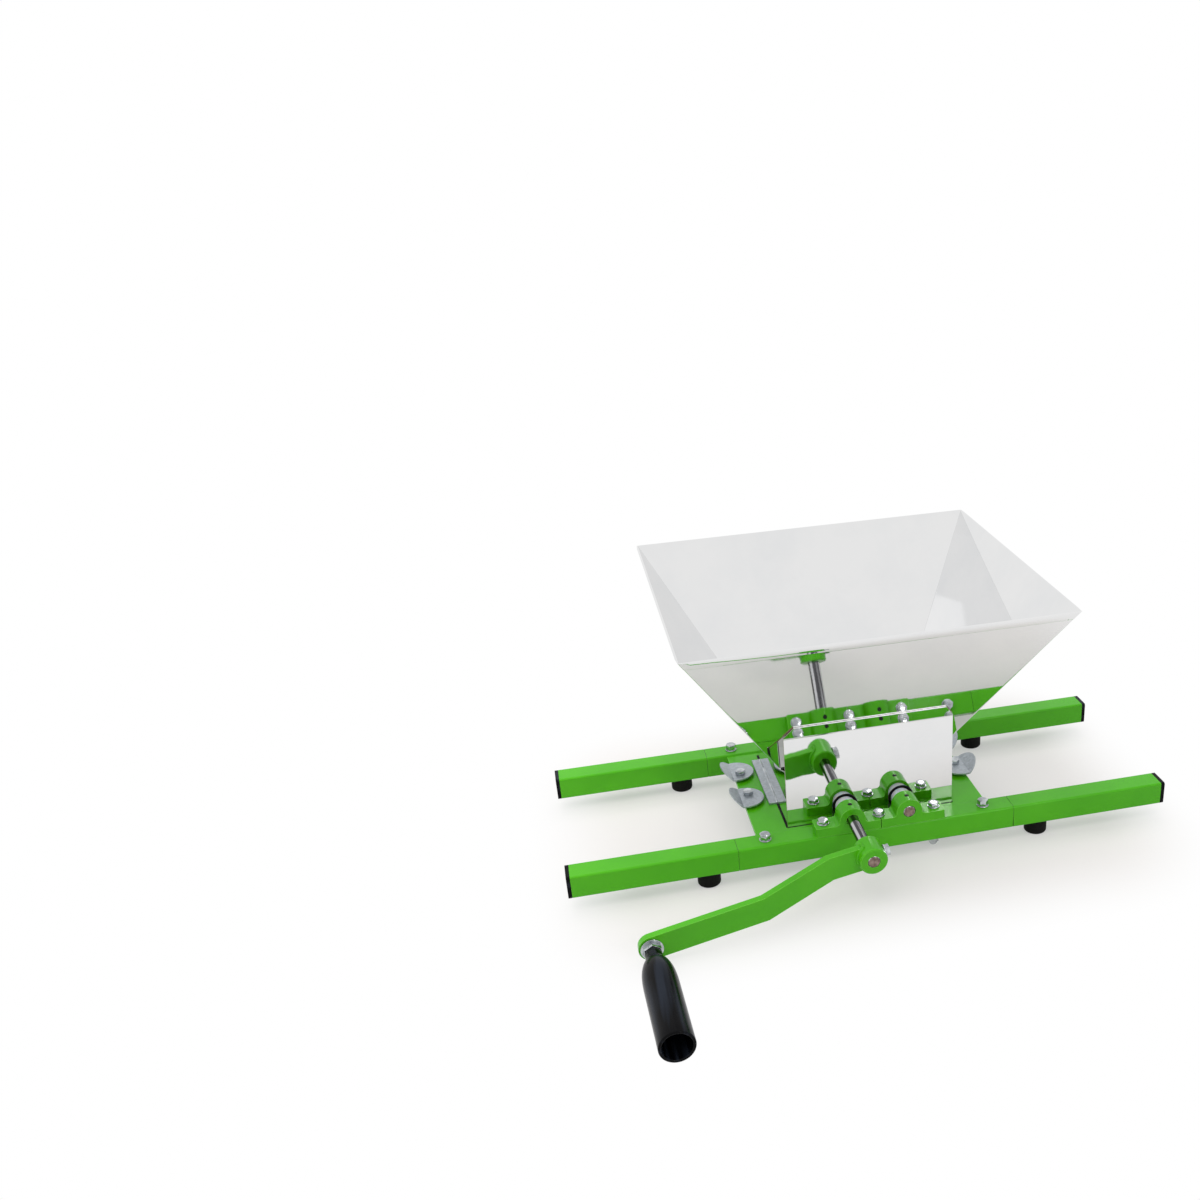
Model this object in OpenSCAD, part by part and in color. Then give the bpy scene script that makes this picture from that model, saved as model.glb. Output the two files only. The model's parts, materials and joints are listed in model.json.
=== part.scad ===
// Hand cranked apple scratter: a steel hopper over two meshed star rollers,
// carried by two square tube rails with bolted extension arms.
// Millimetres, +X along the rails, +Y to the rear, +Z up.
// The origin is below the middle of the machine's box, on the surface that it stands on.

/* [Rails] */
// Outside width of the square tube of rails and arms
rail_w = 20; // [18:1:26]
// Wall of the square tube
rail_wall = 1.5; // [1:0.25:2]
// Outside corner radius of the square tube
rail_round = 1.8; // [1:0.2:2.4]
// Length of each middle rail, from seam to seam
rail_len = 234; // [225:1:320]
// Clear distance between the front and the rear rail
rail_gap = 140; // [136:1:180]

/* [Arms] */
// Length of an arm's tube beyond its seam
arm_len = 134; // [70:1:200]
// Length of the inner stub inside the middle rail
stub_in_rail = 46; // [34:1:48]
// Length of the inner stub inside the arm
stub_in_arm = 14; // [8:1:16]
// Distance of an arm's bolt from the seam
arm_bolt_in = 24; // [18:1:28]

/* [Feet and caps] */
// Diameter of a rubber foot
foot_d = 19; // [16:1:20]
// Height of a rubber foot
foot_h = 12; // [10:1:30]
// Rounding of a foot's lower edge
foot_round = 2; // [1:0.5:4]
// Distance of a foot from the seam
foot_out = 24; // [20:1:40]
// Diameter of the stem that holds a foot in its arm
stem_d = 8; // [6:0.5:9]
// Thickness of an end cap's flange
cap_flange = 3; // [2:0.5:5]
// Length of an end cap's plug inside the tube
cap_plug = 12; // [8:1:16]

/* [Base plate] */
// Reach of the base plate past each side wall
plate_side = 27.5; // [26.5:0.5:32]
// Thickness of the base plate
plate_t = 3; // [2:0.5:4]
// How far the base plate lies below the rails' top faces
plate_drop = 1.5; // [1:0.1:1.8]

/* [Housing] */
// Width of the steel housing across its side walls
house_w = 142; // [141:1:146]
// Thickness of the steel sheet
sheet = 1; // [0.8:0.1:1.2]
// Gap between a rail and the housing plate beside it
house_gap = 5; // [4:0.25:6]
// Slot between the housing and the edge of the base plate's opening
slot_gap = 0.6; // [0.4:0.1:0.9]
// Height of the side walls above the rails
throat_h = 42; // [42:1:55]
// Depth of the gear room behind the front plate
gear_room = 21.5; // [21:0.5:26]
// Length of the front plate's folded flange
flange_len = 13; // [8:1:20]
// Chamfer at each end of that flange
flange_cut = 8.5; // [4:0.5:12]
// Rise of a side wall's top edge over the gear room
wall_lift = 8.5; // [4:0.5:12]
// Width of the side walls' flange under the base plate
foot_flange = 8; // [5:0.5:10]

/* [Hopper] */
// Width of the hopper's rim
rim_w = 309; // [260:1:340]
// Reach of the rim to the front
rim_front = 117; // [100:1:125]
// Reach of the rim to the rear
rim_rear = 154.5; // [130:1:180]
// Height of the rim above the rails
rim_h = 181; // [160:1:220]
// Height of the folded hem
hem_h = 7.5; // [5:0.5:12]
// Thickness that the hem adds outside the wall
hem_t = 1.4; // [1:0.1:2]

/* [Bearings] */
// Diameter of both shafts
shaft_d = 10; // [9:0.5:11]
// Height of the shafts above the rails
shaft_h = 11.5; // [11:0.5:13]
// Distance between the two shafts
shaft_gap = 48; // [47:0.5:50]
// Offset of the seam between the bearing blocks from the rails' middle
seam_off = 2; // [0:0.5:3]
// Thickness of a block's flange
block_t = 8; // [6:0.5:9]
// Depth of the bearing blocks along the shafts
block_w = 16; // [14:0.5:18]
// Diameter of a block's round boss
boss_d = 21.6; // [20:0.4:24]
// Distance of a block's outer bolt from its shaft
bolt_out = 23; // [21:0.5:24]
// Length of a block past its outer bolt
block_end = 7.5; // [7:0.5:9]
// Outside diameter of a bush
bush_d = 14; // [13:0.5:15]
// Diameter of a bush's collar
collar_d = 16.6; // [16:0.2:18]
// Length of a bush's collar
collar_len = 12; // [10:0.5:12.5]
// Oil hole on top of a block
oil_hole_d = 3; // [2:0.5:4]

/* [Rollers] */
// Diameter of a roller's core
core_d = 26; // [22:1:26]
// Diameter over a star cutter's teeth
star_d = 60; // [54:1:61]
// Diameter between a star cutter's teeth
star_root_d = 41; // [38:1:46]
// Thickness of a star cutter
star_t = 5; // [3:0.5:6]
// Bare length of a roller's core ahead of the drive roller's first star cutter
core_bare = 7.6; // [7.5:0.1:12]
// Teeth on a star cutter
star_teeth = 8; // [6:1:11]
// Star cutters on the driven roller; the drive roller has one more
driven_stars_n = 6; // [4:1:6]

/* [Gears] */
// Teeth on each gear
gear_teeth = 24; // [20:2:28]
// Face width of each gear
gear_t = 10; // [8:0.5:10.5]
// Length of each gear's hub
gear_hub = 5; // [4:0.5:5.5]

/* [Scrapers] */
// How much narrower a scraper plate is than the driven roller's row of stars
scraper_trim = 0.7; // [0:0.1:3]
// Thickness of a scraper plate
scraper_t = 2; // [1.5:0.1:2.2]
// How far a scraper plate sticks out of the side wall
scraper_out = 7.5; // [5:0.5:8]

/* [Crank] */
// Crank radius, from shaft to handle
crank_len = 178.5; // [150:0.5:200]
// Diameter of the crank's hub
hub_d = 22.4; // [20:0.4:26]
// Length of the crank's hub
hub_len = 21; // [18:1:30]
// Clear length of shaft between the front rail and the hub
hub_reach = 42; // [36:1:60]
// Width of the flat bar
bar_w = 20; // [16:1:24]
// Thickness of the flat bar
bar_t = 6; // [5:0.5:8]
// How far the bar steps forward
bar_step = 24; // [14:1:30]
// Distance of the first bend from the shaft
bend_near = 33; // [26:1:45]
// Distance of the second bend from the shaft
bend_far = 90; // [70:1:120]
// Lean of the arm's end to the front, in degrees
end_lean = 2; // [0:0.5:4]

/* [Grip] */
// Length of the grip
grip_len = 104; // [90:1:130]
// Largest diameter of the grip
grip_d = 26; // [23:0.2:27]
// Diameter of the grip's neck
neck_d = 13; // [12:0.5:15]
// Depth of the hollow in the grip's open end
hollow_len = 68; // [50:1:72]
// Diameter of the hollow
hollow_d = 21; // [19:0.5:21.5]
// Diameter of the bolt that the grip turns on
handle_bolt_d = 8; // [6:0.5:8]

/* [Latches] */
// Distance of a latch's screw from the side wall
latch_out = 22.2; // [22:0.1:24]
// Half the distance between the two latch screws of one side
latch_half = 18.3; // [18:0.1:24]
// How far the middle of the two screws lies ahead of the rollers' middle
latch_ahead = 3; // [0:0.5:4]
// Radius of a latch's disc
latch_r = 16; // [15:0.5:16]
// Distance from the screw to the disc's centre, towards the outside
latch_off_x = 3.6; // [3:0.1:4]
// Distance from the screw to the disc's centre, away from the other latch
latch_off_y = 5.3; // [4.5:0.1:5.5]
// Thickness of a latch
latch_t = 1.5; // [1:0.25:2]
// Distance of the fold from the screw
fold_out = 8; // [7:0.5:10]
// Angle of the folded edge in degrees
fold_up = 40; // [20:5:60]
// Diameter of a latch screw
latch_screw_d = 5; // [4:0.5:5]
// Width across flats of its head and nut
latch_af = 8; // [7:0.5:9]
// Height of its head
latch_head = 3.5; // [2.5:0.25:4.5]

/* [Fasteners] */
// Thread diameter of the frame's bolts
bolt_d = 5; // [4:0.5:5]
// Width across flats of their heads
bolt_af = 8; // [7:0.5:9]
// Height of their heads
bolt_head = 3.5; // [3:0.25:4.5]
// Diameter of their washers
washer_d = 10; // [9:0.5:11]
// Thickness of their washers
washer_t = 1; // [0.8:0.1:1.4]
// Height of the hexagon of the dome nuts under the rails
nut_hex = 5; // [4:0.25:6]

/* [Hidden] */
$fn = 48;

// One overrun serves every cut
cut = 1;
// Diametral clearance of a shaft in its bush and of parts on a shaft
shaft_fit = 0.1;
// Diametral clearance of a bolt in its hole
hole_fit = 0.6;
// Diametral clearance of a bush, stem or screw in its seat
seat_fit = 0.04;
// Clearance of each stub face in the tubes
stub_fit = 0.2;
// Clearance between flat faces that move past each other
face_fit = 0.2;
// Gap between the two bearing blocks of a rail
seam_gap = 0.8;

// Colours
green = [0.27, 0.66, 0.16];
steel = [0.80, 0.81, 0.83];
zinc = [0.66, 0.68, 0.70];
rubber = [0.07, 0.07, 0.07];
plastic = [0.10, 0.10, 0.11];
nylon = [0.86, 0.88, 0.90];

// Heights
rail_top = foot_h + rail_w;
rail_mid = foot_h + rail_w / 2;
plate_top = rail_top - plate_drop;
plate_bottom = plate_top - plate_t;
house_bottom = plate_bottom - sheet;
throat_z = rail_top + throat_h;
shaft_z = rail_top + shaft_h;

// Places across the machine, from the middle between the rails
rail_y = (rail_gap + rail_w) / 2;
rail_front = -rail_gap / 2 - rail_w;
house_front = house_gap - rail_gap / 2;
house_rear = -house_front;
gear_wall = house_front + gear_room;
block_y = rail_gap / 2 + rail_w - block_w / 2;
collar_y = block_y - block_w / 2 - collar_len;

// Places along the rails, from their middle
seam_x = rail_len / 2;
arm_end_x = seam_x + arm_len;
arm_bolt_x = seam_x - arm_bolt_in;
foot_x = seam_x + foot_out;
wall_x = house_w / 2;
drive_x = seam_off - shaft_gap / 2;
driven_x = seam_off + shaft_gap / 2;
shaft_xs = [drive_x, driven_x];
block_bolt_xs = [drive_x - bolt_out, seam_off, driven_x + bolt_out];

// Tubes
tube_in = rail_w - 2 * rail_wall;
stub_w = tube_in - 2 * stub_fit;
stem_head_h = rail_wall / 2;
stem_head_d = stem_d + 2 * rail_wall;

// Hopper slopes, as horizontal run for each unit of height
wall_rise = rim_h - throat_h;
front_slope = (rim_front + gear_wall) / wall_rise;
rear_slope = (rim_rear - house_rear) / wall_rise;
side_slope = (rim_w / 2 - wall_x) / wall_rise;
function level_t(t, slope) = t * sqrt(1 + slope * slope);

// The front plate folds back where it meets the hopper's front wall
fold_z = throat_z + (gear_room - sheet) / front_slope;

// Dome nuts
dome_step = 0.6;

// Bearing blocks
block_fillet = 3;
block_round = 1.2;
block_lip = 3;
block_slot = 4;

// Gears
gear_module = shaft_gap / gear_teeth;
pressure_angle = 20;
root_share = 1.25;
flank_fit_share = 0.07;
flank_steps = 4;
pitch_r = shaft_gap / 2;
base_r = pitch_r * cos(pressure_angle);
gear_tip_r = pitch_r + gear_module;
gear_root_r = pitch_r - root_share * gear_module;
gear_hub_d = 2 * shaft_d;
gear_hub_y = -collar_y + 2 * face_fit;
gear_y = gear_hub_y + gear_hub;
gear_pin_y = gear_hub_y + gear_hub / 2;
gear_pin_d = 2.5;

// Rollers: the last star of the drive roller is at the rear end of its core
core_gap = 1.5;
core_y0 = gear_wall + sheet + core_gap;
core_y1 = collar_y - face_fit;
core_pin_d = 4;
core_pin_y = core_y0 + core_pin_d;
star_first = core_y0 + core_bare + star_t / 2;
star_last = core_y1 - face_fit - star_t / 2;
star_pitch = (star_last - star_first) / driven_stars_n;
roller_mid = (star_first + star_last) / 2;
tooth_steps = 5;
tooth_curve = 1.3;

// Scrapers: the fingers end beside the cores and the slots clear the stars
finger_gap = 1;
comb_gap = 0.75;
scraper_w = (driven_stars_n - 1) * star_pitch + star_t - scraper_trim;
scraper_drop = shaft_h + plate_drop - scraper_t;
finger_half = sqrt(max(0, pow(core_d / 2, 2) - pow(scraper_drop, 2))) + finger_gap;
slot_half = sqrt(pow(star_d / 2, 2) - pow(scraper_drop, 2)) + finger_gap;

// Crank
hub_rear_y = rail_front - hub_reach;
hub_front_y = hub_rear_y - hub_len;
bar_y = hub_rear_y - hub_len / 2;
bar_end_y = bar_y - bar_step - (crank_len - bend_far) * tan(end_lean);
hub_edge = 0.8;
screw_flat = 0.4;
handle_washer_d = 17.4;
handle_washer_t = 1.6;
handle_nut_af = 13;
handle_nut_t = 5;
grip_in = bar_t / 2 + handle_washer_t + handle_nut_t + face_fit;
grip_out = grip_in + grip_len;
grip_lip = (grip_d - hollow_d) / 4;
swell_share = 0.45;
swell_steps = 8;

// At rest the grip lies just above the surface that the feet stand on
crank_drop = asin((shaft_z - grip_d / 2 - face_fit) / crank_len);

// Latches
strip_fit = 0.3;
latch_x = wall_x + latch_out;
latch_z = plate_top + scraper_t + strip_fit;
latch_top = latch_z + latch_t + face_fit;
latch_nut_t = 4;
spacer_d = 10;
thread_end = 2;
disc_steps = 64;

// The whole machine is moved so that its box is centred on the origin
grip_front_y = bar_end_y - grip_out * cos(end_lean) - (grip_d / 2 - grip_lip) * sin(end_lean);
home_y = -(grip_front_y + rim_rear + level_t(hem_t, rear_slope)) / 2;

// Shapes used more than once
module home() {
    translate([0, home_y, 0]) children();
}

module box(x0, x1, y0, y1, z0, z1) {
    translate([x0, y0, z0]) cube([x1 - x0, y1 - y0, z1 - z0]);
}

module prism_y(x, y0, z, length) {
    translate([x, y0 + length, z]) rotate([90, 0, 0]) linear_extrude(length) children();
}

module rod_y(x, y0, y1, z, d) {
    translate([x, y1, z]) rotate([90, 0, 0]) cylinder(d = d, h = y1 - y0);
}

module rod_z(x, y, z0, z1, d) {
    translate([x, y, z0]) cylinder(d = d, h = z1 - z0);
}

module rounded_square(w, r) {
    square([w - 2 * r, w], center = true);
    square([w, w - 2 * r], center = true);
    for (sx = [-1, 1], sy = [-1, 1])
        translate([sx * (w / 2 - r), sy * (w / 2 - r)]) circle(r);
}

module ring(outer, inner, h) {
    difference() {
        cylinder(d = outer, h = h);
        translate([0, 0, -cut]) cylinder(d = inner, h = h + 2 * cut);
    }
}

module hex_prism(af, h) {
    rotate([0, 0, 30]) cylinder(d = af / cos(30), h = h, $fn = 6);
}

module hex_bolt(af, head, d, shank) {
    hex_prism(af, head);
    translate([0, 0, -shank]) cylinder(d = d, h = shank);
}

module hex_nut(af, h, d) {
    difference() {
        hex_prism(af, h);
        translate([0, 0, -cut]) cylinder(d = d + seat_fit, h = h + 2 * cut);
    }
}

// Square tube of the rails and arms; side is -1 for the front, 1 for the rear
module rail_tube(x0, length, side) {
    translate([x0, side * rail_y, rail_mid]) rotate([90, 0, 90]) linear_extrude(length) difference() {
        rounded_square(rail_w, rail_round);
        square(tube_in, center = true);
    }
}

module rail(side) {
    difference() {
        rail_tube(-seam_x, rail_len, side);
        for (x = block_bolt_xs)
            rod_z(x, side * block_y, foot_h - cut, rail_top + cut, bolt_d + hole_fit);
        for (sx = [-1, 1])
            rod_z(sx * arm_bolt_x, side * rail_y, rail_mid, rail_top + cut, bolt_d + hole_fit);
    }
}

module arm(sx, sy) {
    difference() {
        rail_tube(sx > 0 ? seam_x : -arm_end_x, arm_len, sy);
        rod_z(sx * foot_x, sy * rail_y, foot_h - cut, foot_h + rail_wall + cut, stem_d + seat_fit);
    }
}

module front_rail() {
    color(green) home() rail(-1);
}

module rear_rail() {
    color(green) home() rail(1);
}

module arm_front_left() {
    color(green) home() arm(-1, -1);
}

module arm_front_right() {
    color(green) home() arm(1, -1);
}

module arm_rear_left() {
    color(green) home() arm(-1, 1);
}

module arm_rear_right() {
    color(green) home() arm(1, 1);
}

module at_corners(x, z) {
    for (sx = [-1, 1], sy = [-1, 1]) translate([sx * x, sy * rail_y, z]) children();
}

module arm_stub() {
    difference() {
        translate([-stub_in_rail, 0, 0]) rotate([90, 0, 90])
            linear_extrude(stub_in_rail + stub_in_arm) difference() {
                square(stub_w, center = true);
                square(stub_w - 2 * rail_wall, center = true);
            }
        translate([-arm_bolt_in, 0, 0]) cylinder(d = bolt_d + seat_fit, h = rail_w);
    }
}

module arm_stubs() {
    color(zinc) home() for (sx = [-1, 1], sy = [-1, 1])
        translate([sx * seam_x, sy * rail_y, rail_mid]) mirror([sx < 0 ? 1 : 0, 0, 0]) arm_stub();
}

module arm_bolts() {
    color(zinc) home() at_corners(arm_bolt_x, rail_top + washer_t)
        hex_bolt(bolt_af, bolt_head, bolt_d, washer_t + 3 * rail_wall);
}

module arm_washers() {
    color(zinc) home() at_corners(arm_bolt_x, rail_top) ring(washer_d, bolt_d + hole_fit, washer_t);
}

module end_cap() {
    rotate([90, 0, 90]) linear_extrude(cap_flange) rounded_square(rail_w, rail_round);
    translate([-cap_plug, 0, 0]) rotate([90, 0, 90]) linear_extrude(cap_plug) difference() {
        square(stub_w, center = true);
        square(stub_w - 2 * rail_wall, center = true);
    }
}

module end_caps() {
    color(plastic) home() for (sx = [-1, 1], sy = [-1, 1])
        translate([sx * arm_end_x, sy * rail_y, rail_mid]) mirror([sx < 0 ? 1 : 0, 0, 0]) end_cap();
}

// A foot has a rounded lower edge and a stem that snaps into its arm
module foot_profile() {
    translate([0, foot_round]) square([foot_d / 2, foot_h - foot_round]);
    square([foot_d / 2 - foot_round, foot_h]);
    intersection() {
        translate([foot_d / 2 - foot_round, foot_round]) circle(foot_round);
        square([foot_d / 2, foot_h]);
    }
    square([stem_d / 2, foot_h + rail_wall + stem_head_h]);
    translate([0, foot_h + rail_wall]) square([stem_head_d / 2, stem_head_h]);
}

module feet() {
    color(rubber) home() at_corners(foot_x, 0) rotate_extrude() foot_profile();
}

// Base plate, open in the middle for the housing
module base_plate() {
    half = wall_x + plate_side;
    color(green) home() difference() {
        box(-half, half, -rail_gap / 2, rail_gap / 2, plate_bottom, plate_top);
        box(-wall_x - slot_gap, wall_x + slot_gap, house_front - slot_gap, house_rear + slot_gap,
            plate_bottom - cut, plate_top + cut);
        at_latches(plate_bottom - cut) cylinder(d = latch_screw_d + seat_fit, h = plate_t + 2 * cut);
    }
}

// Housing plates
module cross_plate(x, y, top) {
    box(-x, x, y, y + sheet, house_bottom, top);
}

module shaft_holes(y, d) {
    for (x = shaft_xs) rod_y(x, y - cut, y + sheet + cut, shaft_z, d);
}

// The front plate's bent side view, crossed with its cut outline; its shaft slots are open below
module front_plate() {
    lean = atan(front_slope);
    back = house_front + sheet;
    end_y = back - flange_len * sin(lean);
    end_z = fold_z + flange_len * cos(lean);
    color(steel) home() difference() {
        intersection() {
            translate([-house_w, 0, 0]) rotate([90, 0, 90]) linear_extrude(2 * house_w) polygon([
                [house_front, house_bottom],
                [back, house_bottom],
                [back, fold_z],
                [end_y, end_z],
                [end_y - sheet * cos(lean), end_z - sheet * sin(lean)],
                [house_front, fold_z - sheet * tan(lean / 2)]
            ]);
            prism_y(0, -rail_gap, 0, rail_gap) polygon([
                [-wall_x, house_bottom - cut],
                [wall_x, house_bottom - cut],
                [wall_x, fold_z + sheet],
                [wall_x - flange_cut, end_z + cut],
                [-wall_x + flange_cut, end_z + cut],
                [-wall_x, fold_z + sheet]
            ]);
        }
        shaft_holes(house_front, boss_d);
        for (x = shaft_xs)
            box(x - boss_d / 2, x + boss_d / 2, house_front - cut, back + cut, house_bottom - cut, shaft_z);
    }
}

module inner_plate() {
    color(steel) home() difference() {
        cross_plate(wall_x - sheet, gear_wall, throat_z);
        shaft_holes(gear_wall, shaft_d + 2 * comb_gap);
    }
}

module rear_plate() {
    color(steel) home() difference() {
        cross_plate(wall_x, house_rear - sheet, throat_z);
        shaft_holes(house_rear - sheet, collar_d + 2 * slot_gap);
    }
}

// The wall on the right; its top edge rises over the gear room
module side_wall() {
    y0 = house_front + sheet;
    y1 = house_rear - sheet;
    slot_half_w = scraper_w / 2 + face_fit;
    difference() {
        union() {
            translate([wall_x - sheet, 0, 0]) rotate([90, 0, 90]) linear_extrude(sheet) polygon([
                [y0, house_bottom],
                [y1, house_bottom],
                [y1, throat_z],
                [gear_wall, throat_z],
                [y0, throat_z + wall_lift]
            ]);
            box(wall_x - sheet, wall_x + foot_flange, y0, y1, house_bottom, plate_bottom);
        }
        box(wall_x - sheet - cut, wall_x + cut, roller_mid - slot_half_w, roller_mid + slot_half_w,
            plate_top - face_fit, plate_top + scraper_t + face_fit);
    }
}

module left_wall() {
    color(steel) home() mirror([1, 0, 0]) side_wall();
}

module right_wall() {
    color(steel) home() side_wall();
}

// A slice of the hopper's outer form between two heights above the throat, grown by a thickness
module hopper_slice(h0, h1, grow) {
    x0 = wall_x + side_slope * h0 + level_t(grow, side_slope);
    x1 = wall_x + side_slope * h1 + level_t(grow, side_slope);
    front0 = gear_wall - front_slope * h0 - level_t(grow, front_slope);
    front1 = gear_wall - front_slope * h1 - level_t(grow, front_slope);
    rear0 = house_rear + rear_slope * h0 + level_t(grow, rear_slope);
    rear1 = house_rear + rear_slope * h1 + level_t(grow, rear_slope);
    polyhedron(
        points = [
            [-x0, front0, throat_z + h0], [x0, front0, throat_z + h0],
            [x0, rear0, throat_z + h0], [-x0, rear0, throat_z + h0],
            [-x1, front1, throat_z + h1], [x1, front1, throat_z + h1],
            [x1, rear1, throat_z + h1], [-x1, rear1, throat_z + h1]
        ],
        faces = [[0, 1, 2, 3], [4, 5, 1, 0], [5, 6, 2, 1], [6, 7, 3, 2], [7, 4, 0, 3], [7, 6, 5, 4]]
    );
}

module hopper() {
    color(steel) home() difference() {
        union() {
            hopper_slice(0, wall_rise, 0);
            hopper_slice(wall_rise - hem_h, wall_rise, hem_t);
        }
        hopper_slice(-cut, wall_rise + cut, -sheet);
    }
}

// Star cutters stand side by side; the two rollers' stars lie in each other's gaps
function star_places(n) = [for (i = [0 : n - 1]) roller_mid + (i - (n - 1) / 2) * star_pitch];
drive_star_ys = star_places(driven_stars_n + 1);
driven_star_ys = star_places(driven_stars_n);

// A scraper plate is a strip outside the wall and a comb inside it
module scraper(side, x, star_ys) {
    x_out = side * (wall_x + scraper_out);
    x_tip = x + side * finger_half;
    x_slot = x + side * slot_half;
    x_cut = x_tip - side * cut;
    slot_w = star_t + 2 * comb_gap;
    z1 = plate_top + scraper_t;
    difference() {
        box(min(x_out, x_tip), max(x_out, x_tip),
            roller_mid - scraper_w / 2, roller_mid + scraper_w / 2, plate_top, z1);
        for (y = star_ys)
            box(min(x_slot, x_cut), max(x_slot, x_cut), y - slot_w / 2, y + slot_w / 2,
                plate_top - cut, z1 + cut);
    }
}

module scraper_left() {
    color(zinc) home() scraper(-1, drive_x, drive_star_ys);
}

module scraper_right() {
    color(zinc) home() scraper(1, driven_x, driven_star_ys);
}

// Outline of a bearing block that lies to the right of its shaft's seam
module block_outline() {
    inner = shaft_gap / 2 - seam_gap / 2;
    difference() {
        union() {
            translate([0, shaft_h]) circle(d = boss_d);
            translate([-boss_d / 2, 0]) square([boss_d, shaft_h]);
            translate([-inner, 0]) square([inner + bolt_out + block_end, block_t]);
            translate([-boss_d / 2 - block_fillet, 0])
                square([boss_d + 2 * block_fillet, block_t + block_fillet]);
        }
        for (s = [-1, 1])
            translate([s * (boss_d / 2 + block_fillet), block_t + block_fillet]) circle(block_fillet);
    }
}

// What rounding takes off the two outer corners of a block's flange
module corner_waste() {
    for (s = [-1, 1]) translate([bolt_out + block_end, s * block_w / 2, -cut]) difference() {
        translate([-block_round, s > 0 ? -block_round : -cut, 0])
            cube([block_round + cut, block_round + cut, block_t + 2 * cut]);
        translate([-block_round, -s * block_round, -cut]) cylinder(r = block_round, h = block_t + 4 * cut);
    }
}

// A block round its shaft's foot; end is -1 for the front rail, 1 for the rear one
module bearing_block(end, slot) {
    hole = bolt_d + hole_fit;
    seat_y0 = end < 0 ? block_lip - block_w / 2 : -block_w / 2 - cut;
    difference() {
        prism_y(0, -block_w / 2, 0, block_w) block_outline();
        corner_waste();
        for (s = [-1, 1]) rod_z(bolt_out + s * slot / 2, 0, -cut, block_t + cut, hole);
        box(bolt_out - slot / 2, bolt_out + slot / 2, -hole / 2, hole / 2, -cut, block_t + cut);
        rod_z(-shaft_gap / 2, 0, -cut, block_t + cut, hole);
        rod_y(0, -block_w / 2 - cut, block_w / 2 + cut, shaft_h, shaft_d + hole_fit);
        rod_y(0, seat_y0, seat_y0 + block_w - block_lip + cut, shaft_h, bush_d + seat_fit);
        rod_z(0, 0, shaft_h, shaft_h + boss_d, oil_hole_d);
    }
}

module left_block(end) {
    translate([drive_x, end * block_y, rail_top]) mirror([1, 0, 0]) bearing_block(end, 0);
}

module right_block(end) {
    translate([driven_x, end * block_y, rail_top]) bearing_block(end, block_slot);
}

module block_front_left() {
    color(green) home() left_block(-1);
}

module block_front_right() {
    color(green) home() right_block(-1);
}

module block_rear_left() {
    color(green) home() left_block(1);
}

module block_rear_right() {
    color(green) home() right_block(1);
}

module bush() {
    seat_len = block_w - block_lip;
    difference() {
        union() {
            cylinder(d = bush_d, h = seat_len);
            translate([0, 0, seat_len]) cylinder(d = collar_d, h = collar_len);
        }
        translate([0, 0, -cut]) cylinder(d = shaft_d + shaft_fit, h = block_w + collar_len + 2 * cut);
    }
}

module bushes() {
    color(nylon) home() for (x = shaft_xs, end = [-1, 1])
        translate([x, -end * (rail_front + block_lip), shaft_z]) rotate([end * 90, 0, 0]) bush();
}

module at_block_bolts(z) {
    for (x = block_bolt_xs, end = [-1, 1]) translate([x, end * block_y, z]) children();
}

module block_bolts() {
    color(zinc) home() at_block_bolts(rail_top + block_t + washer_t)
        hex_bolt(bolt_af, bolt_head, bolt_d, washer_t + block_t + rail_w + nut_hex);
}

module block_washers() {
    color(zinc) home() at_block_bolts(rail_top + block_t) ring(washer_d, bolt_d + hole_fit, washer_t);
}

// Dome nuts under the rails
module dome_nut() {
    difference() {
        union() {
            hex_prism(bolt_af, nut_hex);
            sphere(d = bolt_af - dome_step);
        }
        translate([0, 0, -seat_fit]) cylinder(d = bolt_d + seat_fit, h = nut_hex + cut);
    }
}

module block_nuts() {
    color(zinc) home() at_block_bolts(foot_h - nut_hex) dome_nut();
}

// A star cutter's teeth have a radial face and a curved back
function star_points(turn) = [
    for (i = [0 : star_teeth - 1], j = [0 : tooth_steps])
        let (
            share = j / tooth_steps,
            r = star_root_d / 2 + (star_d - star_root_d) / 2 * pow(1 - share, tooth_curve),
            a = turn * (i + share) * 360 / star_teeth
        )
        [r * cos(a), r * sin(a)]
];

module stars(x, star_ys, turn) {
    for (y = star_ys) prism_y(x, y - star_t / 2, shaft_z, star_t) difference() {
        polygon(star_points(turn));
        circle(d = core_d + seat_fit);
    }
}

module drive_stars() {
    color(steel) home() stars(drive_x, drive_star_ys, 1);
}

module driven_stars() {
    color(steel) home() stars(driven_x, driven_star_ys, -1);
}

module core(x) {
    difference() {
        rod_y(x, core_y0, core_y1, shaft_z, core_d);
        rod_y(x, core_y0 - cut, core_y1 + cut, shaft_z, shaft_d + shaft_fit);
        rod_z(x, core_pin_y, shaft_z - core_d, shaft_z + core_d, core_pin_d + seat_fit);
    }
}

module drive_core() {
    color(zinc) home() core(drive_x);
}

module driven_core() {
    color(zinc) home() core(driven_x);
}

module shaft(x, y0) {
    difference() {
        rod_y(x, y0, -rail_front, shaft_z, shaft_d);
        rod_z(x, core_pin_y, shaft_z - shaft_d, shaft_z + shaft_d, core_pin_d + seat_fit);
        rod_z(x, gear_pin_y, shaft_z - shaft_d, shaft_z + shaft_d, gear_pin_d + seat_fit);
    }
}

module drive_shaft() {
    color(steel) home() shaft(drive_x, hub_front_y);
}

module driven_shaft() {
    color(steel) home() shaft(driven_x, rail_front);
}

module pin(x, y, d, across) {
    half = across / 2 - face_fit;
    rod_z(x, y, shaft_z - half, shaft_z + half, d);
}

module pins(x) {
    pin(x, core_pin_y, core_pin_d, core_d);
    pin(x, gear_pin_y, gear_pin_d, gear_hub_d);
}

module drive_pins() {
    color(zinc) home() pins(drive_x);
}

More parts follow.
